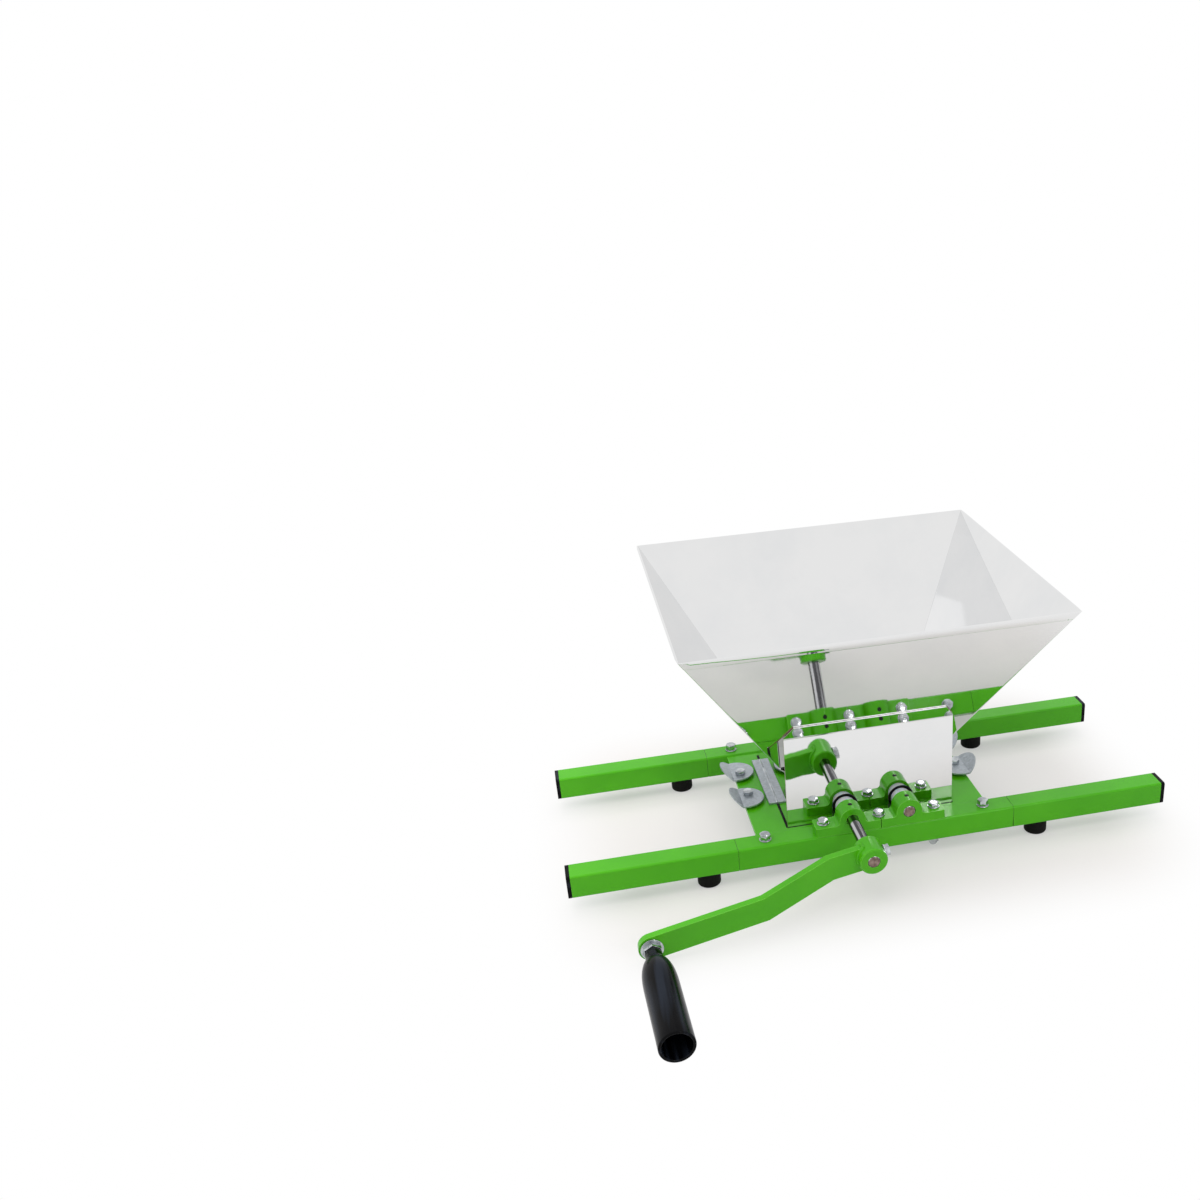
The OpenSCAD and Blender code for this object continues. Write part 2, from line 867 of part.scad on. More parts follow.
module driven_pins() {
    color(zinc) home() pins(driven_x);
}

// Spur gears with involute flanks, thinned so that they turn freely
function involute(r) = tan(acos(base_r / r)) * 180 / PI - acos(base_r / r);
function tooth_half(r) = 90 / gear_teeth + involute(pitch_r) - involute(r)
    - flank_fit_share * gear_module / pitch_r * 180 / PI;
function flank_r(k) = base_r + (gear_tip_r - base_r) * k / flank_steps;
function gear_points(first) = [
    for (i = [0 : gear_teeth - 1])
        let (a = first + i * 360 / gear_teeth)
        for (p = concat(
            [[gear_root_r, -tooth_half(base_r)]],
            [for (k = [0 : flank_steps]) [flank_r(k), -tooth_half(flank_r(k))]],
            [for (k = [flank_steps : -1 : 0]) [flank_r(k), tooth_half(flank_r(k))]],
            [[gear_root_r, tooth_half(base_r)]]
        ))
        [p[0] * cos(a + p[1]), p[0] * sin(a + p[1])]
];

module gear(x, first) {
    difference() {
        union() {
            rod_y(x, gear_hub_y, gear_y, shaft_z, gear_hub_d);
            prism_y(x, gear_y, shaft_z, gear_t) polygon(gear_points(first));
        }
        rod_y(x, gear_hub_y - cut, gear_y + gear_t + cut, shaft_z, shaft_d + shaft_fit);
        rod_z(x, gear_pin_y, shaft_z - gear_hub_d, shaft_z + gear_hub_d, gear_pin_d + seat_fit);
    }
}

module drive_gear() {
    color(zinc) home() gear(drive_x, 0);
}

module driven_gear() {
    color(zinc) home() gear(driven_x, 180 + 180 / gear_teeth);
}

// The crank is drawn with its arm towards -X and dropped to its rest angle
module crank_place() {
    home() translate([drive_x, 0, shaft_z]) rotate([0, -crank_drop, 0]) children();
}

// The handle stands square on the arm's end; its parts are drawn from the bar's middle along -Y
module handle_place() {
    crank_place() translate([-crank_len, bar_end_y, 0]) rotate([0, 0, end_lean]) children();
}

module crank_hub() {
    bore_r = (shaft_d + shaft_fit) / 2;
    color(green) crank_place() difference() {
        translate([0, hub_rear_y, 0]) rotate([90, 0, 0]) rotate_extrude() polygon([
            [bore_r, 0],
            [hub_d / 2 - hub_edge, 0],
            [hub_d / 2, hub_edge],
            [hub_d / 2, hub_len - hub_edge],
            [hub_d / 2 - hub_edge, hub_len],
            [bore_r, hub_len]
        ]);
        translate([0, bar_y, 0]) rotate([0, 90, 0]) cylinder(d = bolt_d + seat_fit, h = hub_d);
        translate([hub_d / 2 - screw_flat, bar_y, 0]) rotate([0, 90, 0])
            cylinder(d = washer_d + 2 * face_fit, h = hub_d);
    }
}

// From the bar's middle line to its rear corner, where the line turns between two angles
function bar_corner(before, after) = let (mean = (before + after) / 2)
    bar_t / 2 / cos((after - before) / 2) * [-sin(mean), cos(mean)];

// The flat bar steps forward between two bends and ends round the handle bolt
module crank_arm() {
    bend = atan(bar_step / (bend_far - bend_near));
    run = crank_len + bar_w;
    line = [
        [0, bar_y],
        [-bend_near, bar_y],
        [-bend_far, bar_y - bar_step],
        [-run, bar_y - bar_step - (run - bend_far) * tan(end_lean)]
    ];
    side = [
        bar_corner(0, 0),
        bar_corner(0, bend),
        bar_corner(bend, end_lean),
        bar_corner(end_lean, end_lean)
    ];
    rear = bar_y + bar_t;
    color(green) difference() {
        crank_place() intersection() {
            translate([0, 0, -bar_w / 2]) linear_extrude(bar_w) polygon(concat(
                [for (i = [0 : len(line) - 1]) line[i] + side[i]],
                [for (i = [len(line) - 1 : -1 : 0]) line[i] - side[i]]
            ));
            union() {
                rod_y(-crank_len, bar_end_y - bar_w, rear, 0, bar_w);
                box(-crank_len, 0, bar_end_y - bar_w, rear, -bar_w / 2, bar_w / 2);
            }
        }
        crank_place() rod_y(0, bar_y - bar_t, rear, 0, hub_d + seat_fit);
        handle_place() rod_y(0, -bar_t, bar_t, 0, handle_bolt_d + seat_fit);
    }
}

module at_hub_flat() {
    crank_place() translate([hub_d / 2 - screw_flat, bar_y, 0]) rotate([0, 90, 0]) children();
}

module hub_screw() {
    reach = hub_d / 2 - screw_flat - shaft_d / 2 + washer_t - seat_fit;
    color(zinc) at_hub_flat() translate([0, 0, washer_t]) hex_bolt(bolt_af, bolt_head, bolt_d, reach);
}

module hub_washer() {
    color(zinc) at_hub_flat() ring(washer_d, bolt_d + hole_fit, washer_t);
}

// The handle bolt is fixed in the arm by its nut, and its head holds the grip from inside
module handle_bolt() {
    head_out = grip_out - hollow_len + face_fit;
    color(zinc) handle_place() translate([0, -head_out, 0]) rotate([90, 0, 0])
        hex_bolt(handle_nut_af, handle_nut_t, handle_bolt_d, head_out + bar_t / 2);
}

module handle_nut() {
    color(zinc) handle_place() translate([0, -bar_t / 2 - handle_washer_t, 0])
        rotate([90, 0, 0]) hex_nut(handle_nut_af, handle_nut_t, handle_bolt_d);
}

module handle_washer() {
    color(zinc) handle_place() translate([0, -bar_t / 2, 0]) rotate([90, 0, 0])
        ring(handle_washer_d, handle_bolt_d + hole_fit, handle_washer_t);
}

// The grip swells from its neck along a quarter ellipse and is hollow from its open end
function swell_r(u) = (neck_d + (grip_d - neck_d) * sqrt(1 - pow(1 - u, 2))) / 2;

module grip() {
    bore_r = (handle_bolt_d + shaft_fit) / 2;
    swell_len = swell_share * grip_len;
    color(plastic) handle_place() translate([0, -grip_in, 0]) rotate([90, 0, 0])
        rotate_extrude() polygon(concat(
            [[bore_r, 0]],
            [for (k = [0 : swell_steps]) let (u = pow(k / swell_steps, 2)) [swell_r(u), swell_len * u]],
            [
                [grip_d / 2, grip_len - grip_lip],
                [grip_d / 2 - grip_lip, grip_len],
                [hollow_d / 2, grip_len],
                [hollow_d / 2, grip_len - hollow_len],
                [bore_r, grip_len - hollow_len]
            ]
        ));
}

// Swivel latches: discs that turn about a point off their centre, with the outer edge folded up
module at_latch(sx, sy, z) {
    translate([sx * latch_x, roller_mid - latch_ahead + sy * latch_half, z]) children();
}

module at_latches(z) {
    for (sx = [-1, 1], sy = [-1, 1]) at_latch(sx, sy, z) children();
}

// The bent sheet's side view, crossed with the disc's outline as it lies after folding
module latch_blank() {
    reach = latch_off_x + latch_r - fold_out + cut;
    prism_len = 2 * (latch_r + cut);
    intersection() {
        prism_y(0, -latch_off_y - prism_len / 2, 0, prism_len) polygon([
            [latch_r, 0],
            [-fold_out, 0],
            [-fold_out - reach * cos(fold_up), reach * sin(fold_up)],
            [-fold_out - reach * cos(fold_up) + latch_t * sin(fold_up),
                reach * sin(fold_up) + latch_t * cos(fold_up)],
            [-fold_out + latch_t * tan(fold_up / 2), latch_t],
            [latch_r, latch_t]
        ]);
        translate([0, 0, -cut]) linear_extrude(prism_len) polygon([
            for (k = [0 : disc_steps - 1])
                let (
                    a = 360 * k / disc_steps,
                    x = latch_r * cos(a) - latch_off_x,
                    y = latch_r * sin(a) - latch_off_y
                )
                [x < -fold_out ? -fold_out + (x + fold_out) * cos(fold_up) : x, y]
        ]);
    }
}

module latch(sx, sy) {
    at_latch(sx, sy, latch_z) mirror([sx > 0 ? 1 : 0, 0, 0]) mirror([0, sy > 0 ? 1 : 0, 0]) difference() {
        latch_blank();
        translate([0, 0, -cut]) cylinder(d = latch_screw_d + shaft_fit, h = latch_t + 2 * cut);
    }
}

module latch_front_left() {
    color(zinc) home() latch(-1, -1);
}

module latch_rear_left() {
    color(zinc) home() latch(-1, 1);
}

module latch_front_right() {
    color(zinc) home() latch(1, -1);
}

module latch_rear_right() {
    color(zinc) home() latch(1, 1);
}

module latch_spacers() {
    color(zinc) home() at_latches(plate_top)
        ring(spacer_d, latch_screw_d + hole_fit, latch_z - face_fit - plate_top);
}

// The latch screws are held by nuts under the base plate
module latch_screws() {
    color(zinc) home() at_latches(latch_top)
        hex_bolt(latch_af, latch_head, latch_screw_d, latch_top - plate_bottom + latch_nut_t + thread_end);
}

module latch_nuts() {
    color(zinc) home() at_latches(plate_bottom - latch_nut_t) hex_nut(latch_af, latch_nut_t, latch_screw_d);
}

front_rail();
rear_rail();
arm_front_left();
arm_front_right();
arm_rear_left();
arm_rear_right();
arm_stubs();
arm_bolts();
arm_washers();
end_caps();
feet();
base_plate();
front_plate();
inner_plate();
rear_plate();
left_wall();
right_wall();
hopper();
scraper_left();
scraper_right();
block_front_left();
block_front_right();
block_rear_left();
block_rear_right();
bushes();
block_bolts();
block_washers();
block_nuts();
latch_spacers();
latch_screws();
latch_nuts();
drive_shaft();
drive_core();
drive_stars();
drive_gear();
drive_pins();
crank_hub();
crank_arm();
hub_screw();
hub_washer();
handle_bolt();
handle_nut();
handle_washer();
grip();
driven_shaft();
driven_core();
driven_stars();
driven_gear();
driven_pins();
latch_front_left();
latch_rear_left();
latch_front_right();
latch_rear_right();
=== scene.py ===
"""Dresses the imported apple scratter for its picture: materials, detail pieces, stage, lamps and camera.
Everything is in metres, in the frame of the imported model: +X along the rails, +Y to the rear, +Z up."""
import bpy, bmesh, json, math
from mathutils import Matrix, Vector


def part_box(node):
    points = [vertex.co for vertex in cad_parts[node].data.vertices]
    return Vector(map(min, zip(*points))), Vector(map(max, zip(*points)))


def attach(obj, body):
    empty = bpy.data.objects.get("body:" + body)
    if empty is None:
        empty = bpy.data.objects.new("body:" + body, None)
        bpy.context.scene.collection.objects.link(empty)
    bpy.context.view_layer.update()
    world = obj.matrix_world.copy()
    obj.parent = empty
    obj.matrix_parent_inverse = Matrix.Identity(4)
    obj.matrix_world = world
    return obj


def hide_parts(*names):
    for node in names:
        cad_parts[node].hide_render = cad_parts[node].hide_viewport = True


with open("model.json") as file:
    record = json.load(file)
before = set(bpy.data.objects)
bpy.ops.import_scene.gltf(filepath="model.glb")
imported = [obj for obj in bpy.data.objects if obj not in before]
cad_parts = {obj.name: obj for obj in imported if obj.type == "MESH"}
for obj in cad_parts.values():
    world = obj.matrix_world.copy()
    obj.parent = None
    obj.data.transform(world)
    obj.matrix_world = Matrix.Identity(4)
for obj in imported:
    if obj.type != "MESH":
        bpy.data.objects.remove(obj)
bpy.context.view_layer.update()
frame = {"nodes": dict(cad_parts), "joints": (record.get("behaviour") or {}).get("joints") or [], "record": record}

nodes = frame["nodes"]
scene = bpy.context.scene
joint = {j["name"]: j for j in frame["joints"]}

MM = 0.001
WELD = 0.002 * MM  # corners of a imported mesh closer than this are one
SAME = 0.01 * MM  # heights and radii that differ by less than this are equal
X_AXIS, Y_AXIS, Z_AXIS = Vector((1, 0, 0)), Vector((0, 1, 0)), Vector((0, 0, 1))
ARMS = ("arm_front_left", "arm_front_right", "arm_rear_left", "arm_rear_right")
BLOCKS = ("block_front_left", "block_front_right", "block_rear_left", "block_rear_right")

front_lo, front_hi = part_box("front_rail")
RAILS_MID_Y = (front_lo.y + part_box("rear_rail")[1].y) / 2
RAIL_TOP = front_hi.z
# The handle's axis runs from the crank arm to the open end of the grip
HANDLE_PIVOT = Vector(joint["grip_spin"]["pos_m"])
HANDLE_AXIS = -Vector(joint["grip_spin"]["axis"]).normalized()


# ---------------------------------------------------------------- camera
def make_camera():
    """The camera fitted to the photograph, from the rails' corners, the rim and the blocks."""
    azimuth, elevation, roll = -0.205, 0.454, -0.046
    focal_px, frame_px, shift_px = 1233.079, 1200, (-200, 100)
    place = Vector((-0.2332, RAILS_MID_Y - 0.918, RAIL_TOP + 0.5387))
    look = Vector((
        math.sin(-azimuth) * math.cos(elevation),
        math.cos(azimuth) * math.cos(elevation),
        -math.sin(elevation),
    ))
    side = look.cross(Z_AXIS).normalized()
    over = side.cross(look)
    right = math.cos(roll) * side + math.sin(roll) * over
    up = -math.sin(roll) * side + math.cos(roll) * over
    data = bpy.data.cameras.new("photo_camera")
    cam = bpy.data.objects.new("photo_camera", data)
    scene.collection.objects.link(cam)
    turn = Matrix((right, up, -look)).transposed().to_4x4()
    cam.matrix_world = Matrix.Translation(place) @ turn
    data.sensor_width = 36
    data.lens = data.sensor_width * focal_px / frame_px
    data.shift_x = shift_px[0] / frame_px
    data.shift_y = shift_px[1] / frame_px
    data.clip_start = 0.01
    scene.camera = cam


# ---------------------------------------------------------------- materials
class Shader:
    """A material's node tree, with short calls for the nodes used here."""

    def __init__(self, name):
        self.material = bpy.data.materials.new(name)
        self.material.use_nodes = True
        self.tree = self.material.node_tree
        self.bsdf = self.tree.nodes["Principled BSDF"]
        self.place = self.tree.nodes.new("ShaderNodeTexCoord").outputs["Object"]

    def put(self, **values):
        """Sets constants of the surface; an underscore stands for a space in a socket's name."""
        for key, value in values.items():
            self.bsdf.inputs[key.replace("_", " ")].default_value = value

    def node(self, kind, inputs=None, **settings):
        """Adds a node. An input that is given a socket is linked to it, any other is a constant."""
        n = self.tree.nodes.new(kind)
        for key, value in settings.items():
            setattr(n, key, value)
        for key, value in (inputs or {}).items():
            if isinstance(value, bpy.types.NodeSocket):
                self.tree.links.new(value, n.inputs[key])
            else:
                n.inputs[key].default_value = value
        return n

    def stretch(self, x, y, z):
        """The object's coordinates, scaled by axis; a small scale draws a texture out."""
        inputs = {"Vector": self.place, "Scale": (x, y, z)}
        return self.node("ShaderNodeMapping", inputs).outputs["Vector"]

    def noise(self, scale, detail=2.0, rough=0.5, vector=None):
        """Noise from 0 to 1, most of it between 0.3 and 0.7; scale is in waves per metre."""
        inputs = {"Vector": vector or self.place, "Scale": scale, "Detail": detail, "Roughness": rough}
        return self.node("ShaderNodeTexNoise", inputs).outputs["Fac"]

    def span(self, value, from_lo, from_hi, to_lo, to_hi):
        inputs = {"Value": value, "From Min": from_lo, "From Max": from_hi, "To Min": to_lo, "To Max": to_hi}
        return self.node("ShaderNodeMapRange", inputs).outputs["Result"]

    def mix(self, factor, a, b):
        """Blends two colours. The numbers are the colour sockets of the mix node."""
        return self.node("ShaderNodeMix", {0: factor, 6: a, 7: b}, data_type="RGBA").outputs[2]

    def add(self, a, b):
        return self.node("ShaderNodeMath", {0: a, 1: b}, operation="ADD").outputs[0]

    def bump(self, height, distance, strength=1.0, normal=None):
        """Bumps of the given height in metres, on top of another bumped normal if there is one."""
        inputs = {"Height": height, "Distance": distance, "Strength": strength}
        if normal:
            inputs["Normal"] = normal
        return self.node("ShaderNodeBump", inputs).outputs["Normal"]

    def edges(self, radius):
        """1 along sharp edges, 0 on open faces."""
        open_face, sharp_edge = 0.97, 0.75
        soft = self.node("ShaderNodeBevel", {"Radius": radius}, samples=4).outputs["Normal"]
        true = self.node("ShaderNodeNewGeometry").outputs["Normal"]
        likeness = self.node("ShaderNodeVectorMath", {0: soft, 1: true}, operation="DOT_PRODUCT")
        return self.span(likeness.outputs["Value"], open_face, sharp_edge, 0, 1)

    def link(self, socket, name):
        self.tree.links.new(socket, self.bsdf.inputs[name])


def rgb(r, g, b):
    return (r, g, b, 1.0)


def green_paint():
    """Green powder coat with a fine orange peel, paler along the edges: partly where the coat is thin, partly a
    painted highlight.
    """
    s = Shader("green_powder_coat")
    tone = s.span(s.noise(22, 3), 0.3, 0.7, 0, 1)
    coat = s.mix(tone, rgb(0.066, 0.420, 0.003), rgb(0.084, 0.480, 0.005))
    # Painted highlight: the light green along sharp edges is brighter than a thin coat alone would be.
    s.link(s.mix(s.edges(0.9 * MM), coat, rgb(0.24, 0.78, 0.08)), "Base Color")
    s.link(s.span(s.noise(130, 4), 0.3, 0.7, 0.17, 0.27), "Roughness")
    peel = s.bump(s.noise(750, 2), 0.00005)
    s.link(s.bump(s.noise(60, 2), 0.0002, 0.4, peel), "Normal")
    s.put(IOR=1.33)
    return s.material


def stainless():
    """Polished sheet: faint smudges, a slight wave and edges that are matt from cutting."""
    s = Shader("mirror_stainless")
    smudge = s.span(s.noise(14, 5, 0.62), 0.42, 0.68, 0, 1)
    cut = s.edges(0.35 * MM)
    sheet = s.mix(smudge, rgb(0.785, 0.785, 0.785), rgb(0.75, 0.755, 0.76))
    s.link(s.mix(cut, sheet, rgb(0.92, 0.92, 0.92)), "Base Color")
    grain = s.noise(900, 2, 0.5, s.stretch(1, 0.02, 1))
    polish = s.add(s.span(grain, 0.3, 0.7, 0.0, 0.02), s.span(smudge, 0, 1, 0.012, 0.045))
    s.link(s.add(polish, s.span(cut, 0, 1, 0.0, 0.28)), "Roughness")
    wave = s.bump(s.noise(6, 1), 0.0010, 0.4)
    s.link(s.bump(grain, 0.000003, 0.5, wave), "Normal")
    s.put(Metallic=1.0)
    return s.material


def ground_steel():
    """Drawn bar whose colour carries painted reflections: dark and bright streaks along its length."""
    s = Shader("ground_steel_bar")
    drawn_marks_and_reflections = s.noise(330, 2, 0.5, s.stretch(1, 0.02, 1))
    # Painted reflections: the dark and bright streaks stand in for surroundings mirrored in the bar; the same
    # noise gives the drawn marks of the bump.
    painted_reflection_streak = s.span(drawn_marks_and_reflections, 0.44, 0.56, 0, 1)
    s.link(s.mix(painted_reflection_streak, rgb(0.085, 0.085, 0.09), rgb(0.62, 0.625, 0.64)), "Base Color")
    s.link(s.span(s.noise(240, 3), 0.3, 0.7, 0.07, 0.16), "Roughness")
    s.link(s.bump(drawn_marks_and_reflections, 0.00001, 0.6), "Normal")
    s.put(Metallic=1.0)
    return s.material


def sawn_end():
    """The cut ends of the shafts: rough, with brown stains."""
    s = Shader("sawn_shaft_end")
    stain = s.span(s.noise(420, 4), 0.35, 0.65, 0, 1)
    s.link(s.mix(stain, rgb(0.30, 0.22, 0.19), rgb(0.15, 0.10, 0.085)), "Base Color")
    s.link(s.span(stain, 0, 1, 0.3, 0.45), "Roughness")
    s.link(s.bump(s.noise(900, 2), 0.00004, 0.7), "Normal")
    s.put(Metallic=0.9)
    return s.material


def zinc_plate():
    """Bright zinc on bolts, nuts and washers, clouded by handling; the dark patches are also painted reflections
    of dark surroundings.
    """
    s = Shader("bright_zinc")
    clouding_and_painted_reflection = s.span(s.noise(160, 4, 0.6), 0.35, 0.68, 0, 1)
    # Painted reflections: the dark zinc colour of the patches stands in for dark surroundings mirrored in the
    # zinc.
    s.link(s.mix(clouding_and_painted_reflection, rgb(0.60, 0.63, 0.65), rgb(0.32, 0.345, 0.36)), "Base Color")
    s.link(s.span(clouding_and_painted_reflection, 0, 1, 0.10, 0.22), "Roughness")
    s.link(s.bump(s.noise(700, 3), 0.00004, 0.5), "Normal")
    s.put(Metallic=1.0)
    return s.material


def galvanised():
    """Dull galvanised sheet with small zinc flowers."""
    s = Shader("galvanised_sheet")
    cells = s.node("ShaderNodeTexVoronoi", {"Vector": s.place, "Scale": 420.0}).outputs["Color"]
    grey = s.node("ShaderNodeSeparateColor", {"Color": cells}).outputs[0]
    fine = s.noise(900, 3)
    flower = s.span(s.add(grey, fine), 0.4, 1.6, 0, 1)
    s.link(s.mix(flower, rgb(0.34, 0.375, 0.40), rgb(0.52, 0.56, 0.60)), "Base Color")
    s.link(s.span(grey, 0, 1, 0.34, 0.50), "Roughness")
    s.link(s.bump(fine, 0.00003, 0.6), "Normal")
    s.put(Metallic=0.85)
    return s.material


def black_rubber():
    """Matt black rubber of the feet, caps and seals."""
    s = Shader("black_rubber")
    s.link(s.mix(s.noise(240, 4), rgb(0.004, 0.004, 0.004), rgb(0.010, 0.010, 0.009)), "Base Color")
    s.link(s.span(s.noise(500, 3), 0.3, 0.7, 0.55, 0.75), "Roughness")
    s.link(s.bump(s.noise(1400, 3), 0.00006, 0.6), "Normal")
    s.put(Specular_IOR_Level=0.08)
    return s.material


def black_plastic():
    """Moulded black plastic with faint bluish streaks along the grip, painted reflections in its colour."""
    s = Shader("glossy_black_plastic")
    # Painted reflections: the bluish streaks along the grip's axis.
    painted_reflection_streak = s.span(s.noise(140, 2, 0.5, s.stretch(1, 0.06, 1)), 0.50, 0.66, 0, 1)
    base = s.mix(painted_reflection_streak, rgb(0.0015, 0.0015, 0.0020), rgb(0.014, 0.018, 0.027))
    s.link(s.mix(s.edges(0.6 * MM), base, rgb(0.02, 0.02, 0.022)), "Base Color")
    s.link(s.span(s.noise(260, 3), 0.3, 0.7, 0.15, 0.24), "Roughness")
    s.link(s.bump(s.noise(1700, 2), 0.00002, 0.5), "Normal")
    s.put(IOR=1.17)
    return s.material


def white_nylon():
    """Slightly translucent nylon of the bushes."""
    s = Shader("natural_nylon")
    s.link(s.mix(s.noise(200, 3), rgb(0.60, 0.63, 0.68), rgb(0.70, 0.72, 0.76)), "Base Color")
    s.link(s.span(s.noise(700, 2), 0.3, 0.7, 0.32, 0.44), "Roughness")
    s.put(Subsurface_Weight=0.25, Subsurface_Scale=0.002)
    return s.material


def sheared_edge(name, clean, dull):
    """The cut edge of a sheet: matt, with the marks of the shear. The brown one is a painted reflection, the
    fringe along the front plate's sides.
    """
    s = Shader(name)
    marks = s.noise(1500, 3)
    s.link(s.mix(s.span(marks, 0.35, 0.65, 0, 1), clean, dull), "Base Color")
    s.link(s.span(marks, 0.3, 0.7, 0.35, 0.5), "Roughness")
    s.put(Metallic=0.7)
    return s.material


def gap_shade_paint():
    """Painted shade for the gaps of joints and the mouths of oil holes."""
    s = Shader("painted_gap_shade")
    s.link(s.mix(s.noise(600, 3), rgb(0.010, 0.012, 0.010), rgb(0.025, 0.028, 0.022)), "Base Color")
    s.link(s.span(s.noise(900, 2), 0.3, 0.7, 0.4, 0.6), "Roughness")
    s.put(Specular_IOR_Level=0.08)
    return s.material


# By the slots of the record
MATERIALS = {
    "green_paint": green_paint(),
    "stainless": stainless(),
    "bright_steel": ground_steel(),
    "zinc": zinc_plate(),
    "black_rubber": black_rubber(),
    "black_plastic": black_plastic(),
    "white_nylon": white_nylon(),
}
GALVANISED = galvanised()
SAWN = sawn_end()
# Painted shade, put in joints and over oil holes.
GAP_SHADE = gap_shade_paint()
CLEAN_EDGE = sheared_edge("clean_sheared_edge", rgb(0.90, 0.90, 0.90), rgb(0.78, 0.78, 0.78))
# Painted reflection: the brown fringe along the front plate's sides.
BROWN_EDGE = sheared_edge("brown_painted_fringe", rgb(0.30, 0.17, 0.09), rgb(0.20, 0.11, 0.06))
GALVANISED_NODES = [n for n in nodes if n.startswith(("latch_front", "latch_rear", "scraper_"))]


# ---------------------------------------------------------------- CAD nodes: materials and softened edges
USUAL_EDGE = 0.3
# The nodes whose softened edges have another radius, by that radius in millimetres
OTHER_EDGES = {
    0.12: ("drive_gear", "driven_gear"),
    0.2: ("inner_plate", "rear_plate", "left_wall", "right_wall", "drive_stars", "driven_stars"),
    0.25: ("hopper", "front_plate", "scraper_left", "scraper_right"),
    0.5: ("base_plate", "crank_hub"),
    0.55: ("front_rail", "rear_rail") + ARMS,
    0.6: ("drive_shaft", "driven_shaft"),
    0.8: BLOCKS,
    0.9: ("crank_arm",),
}
EDGE = {name: radius for radius, names in OTHER_EDGES.items() for name in names}
# Plain tubes and bars, whose short corner segments would otherwise hold the softened edge back
UNCLAMPED = ("front_rail", "rear_rail", "arm_front", "arm_rear", "drive_shaft", "driven_shaft")


def soften(name, obj):
    """Rounds the edges of a CAD node with modifiers; its own mesh isn't touched."""
    mesh = obj.data
    for attribute in ("custom_normal", "sharp_edge", "sharp_face"):
        if attribute in mesh.attributes:
            mesh.attributes.remove(mesh.attributes[attribute])
    mesh.shade_smooth()
    weld = obj.modifiers.new("weld", "WELD")
    weld.merge_threshold = WELD
    merge = obj.modifiers.new("merge_faces", "DECIMATE")
    merge.decimate_type = "DISSOLVE"
    merge.angle_limit = math.radians(0.6)
    bevel = obj.modifiers.new("soft_edges", "BEVEL")
    bevel.width = EDGE.get(name, USUAL_EDGE) * MM
    bevel.segments = 3
    bevel.limit_method = "ANGLE"
    bevel.angle_limit = math.radians(24)
    bevel.miter_outer = "MITER_ARC"
    bevel.use_clamp_overlap = not name.startswith(UNCLAMPED)
    normals = obj.modifiers.new("flat_faces", "WEIGHTED_NORMAL")
    normals.keep_sharp = False
    normals.weight = 100


def dress_cad():
    """Gives every CAD node its material and softened edges."""
    slots = {part["node"]: part["material_slot"] for part in frame["record"]["subparts"]}
    for name, obj in nodes.items():
        material = GALVANISED if name in GALVANISED_NODES else MATERIALS[slots[name]]
        obj.data.materials.clear()
        obj.data.materials.append(material)
        soften(name, obj)


# ---------------------------------------------------------------- tools for the pieces built here
def solids(name):
    """The lowest and highest corners of each separate solid of a CAD node."""
    bm = bmesh.new()
    bm.from_mesh(nodes[name].data)
    bmesh.ops.remove_doubles(bm, verts=bm.verts, dist=WELD)
    left = set(bm.verts)
    found = []
    while left:
        group, border = set(), [left.pop()]
        while border:
            v = border.pop()
            group.add(v)
            for e in v.link_edges:
                w = e.other_vert(v)
                if w in left:
                    left.remove(w)
                    border.append(w)
        lo = Vector([min(v.co[i] for v in group) for i in range(3)])
        hi = Vector([max(v.co[i] for v in group) for i in range(3)])
        found.append((lo, hi))
    bm.free()
    return sorted(found, key=lambda pair: tuple(round(c, 5) for c in pair[0]))


def finish_piece(name, bm, material, body, sharp=35):
    """Makes an object that rides on a body; edges sharper than this angle in degrees stay crisp."""
    bmesh.ops.recalc_face_normals(bm, faces=bm.faces)
    mesh = bpy.data.meshes.new(name)
    bm.to_mesh(mesh)
    bm.free()
    mesh.shade_smooth()
    mesh.set_sharp_from_angle(angle=math.radians(sharp))
    mesh.materials.append(material)
    obj = bpy.data.objects.new(name, mesh)
    scene.collection.objects.link(obj)
    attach(obj, body)
    return obj


def loft(bm, rings, closed=False):
    """Skins rings of points, all with the same number of points. A closed skin runs on from the
    last ring to the first; an open one gets a face at either end."""
    rows = [[bm.verts.new(p) for p in ring] for ring in rings]
    n = len(rows[0])
    for a, b in zip(rows, rows[1:] + (rows[:1] if closed else [])):
        for i in range(n):
            bm.faces.new((a[i], a[(i + 1) % n], b[(i + 1) % n], b[i]))
    if not closed:
        bm.faces.new(list(reversed(rows[0])))
        bm.faces.new(rows[-1])


def oval(centre, u, v, n):
    """A ring of n points in any plane; u and v are its half axes."""
    return [centre + u * math.cos(a) + v * math.sin(a)
            for a in (2 * math.pi * i / n for i in range(n))]


def circle(r, z, n, at=(0, 0)):
    """A level ring of n points."""
    return [Vector((at[0] + r * math.cos(a), at[1] + r * math.sin(a), z))
            for a in (2 * math.pi * i / n for i in range(n))]


def hexagon(af, z_of, n, at=(0, 0), turn=0.0):
    """A ring on a hexagon across flats af; z_of gives the height at a radius."""
    ring = []
    for i in range(n):
        a = 2 * math.pi * i / n
        r = af / 2 / math.cos((a + math.pi / 6) % (math.pi / 3) - math.pi / 6)
        b = a + turn
        ring.append(Vector((at[0] + r * math.cos(b), at[1] + r * math.sin(b), z_of(r))))
    return ring


def rounded_square(centre, half, corner_r, steps=6):
    """A square ring with rounded corners, upright across the X axis."""
    flat = half - corner_r
    ring = []
    for k, (sy, sz) in enumerate(((1, 1), (1, -1), (-1, -1), (-1, 1))):
        for j in range(steps + 1):
            a = math.pi / 2 * (k + j / steps)
            y, z = sy * flat + corner_r * math.sin(a), sz * flat + corner_r * math.cos(a)
            ring.append(centre + Vector((0, y, z)))
    return ring


# ---------------------------------------------------------------- bolts and nuts
HEAD_POINTS = 48
CROWN = 0.08 * MM  # rise of a bolt head's domed top


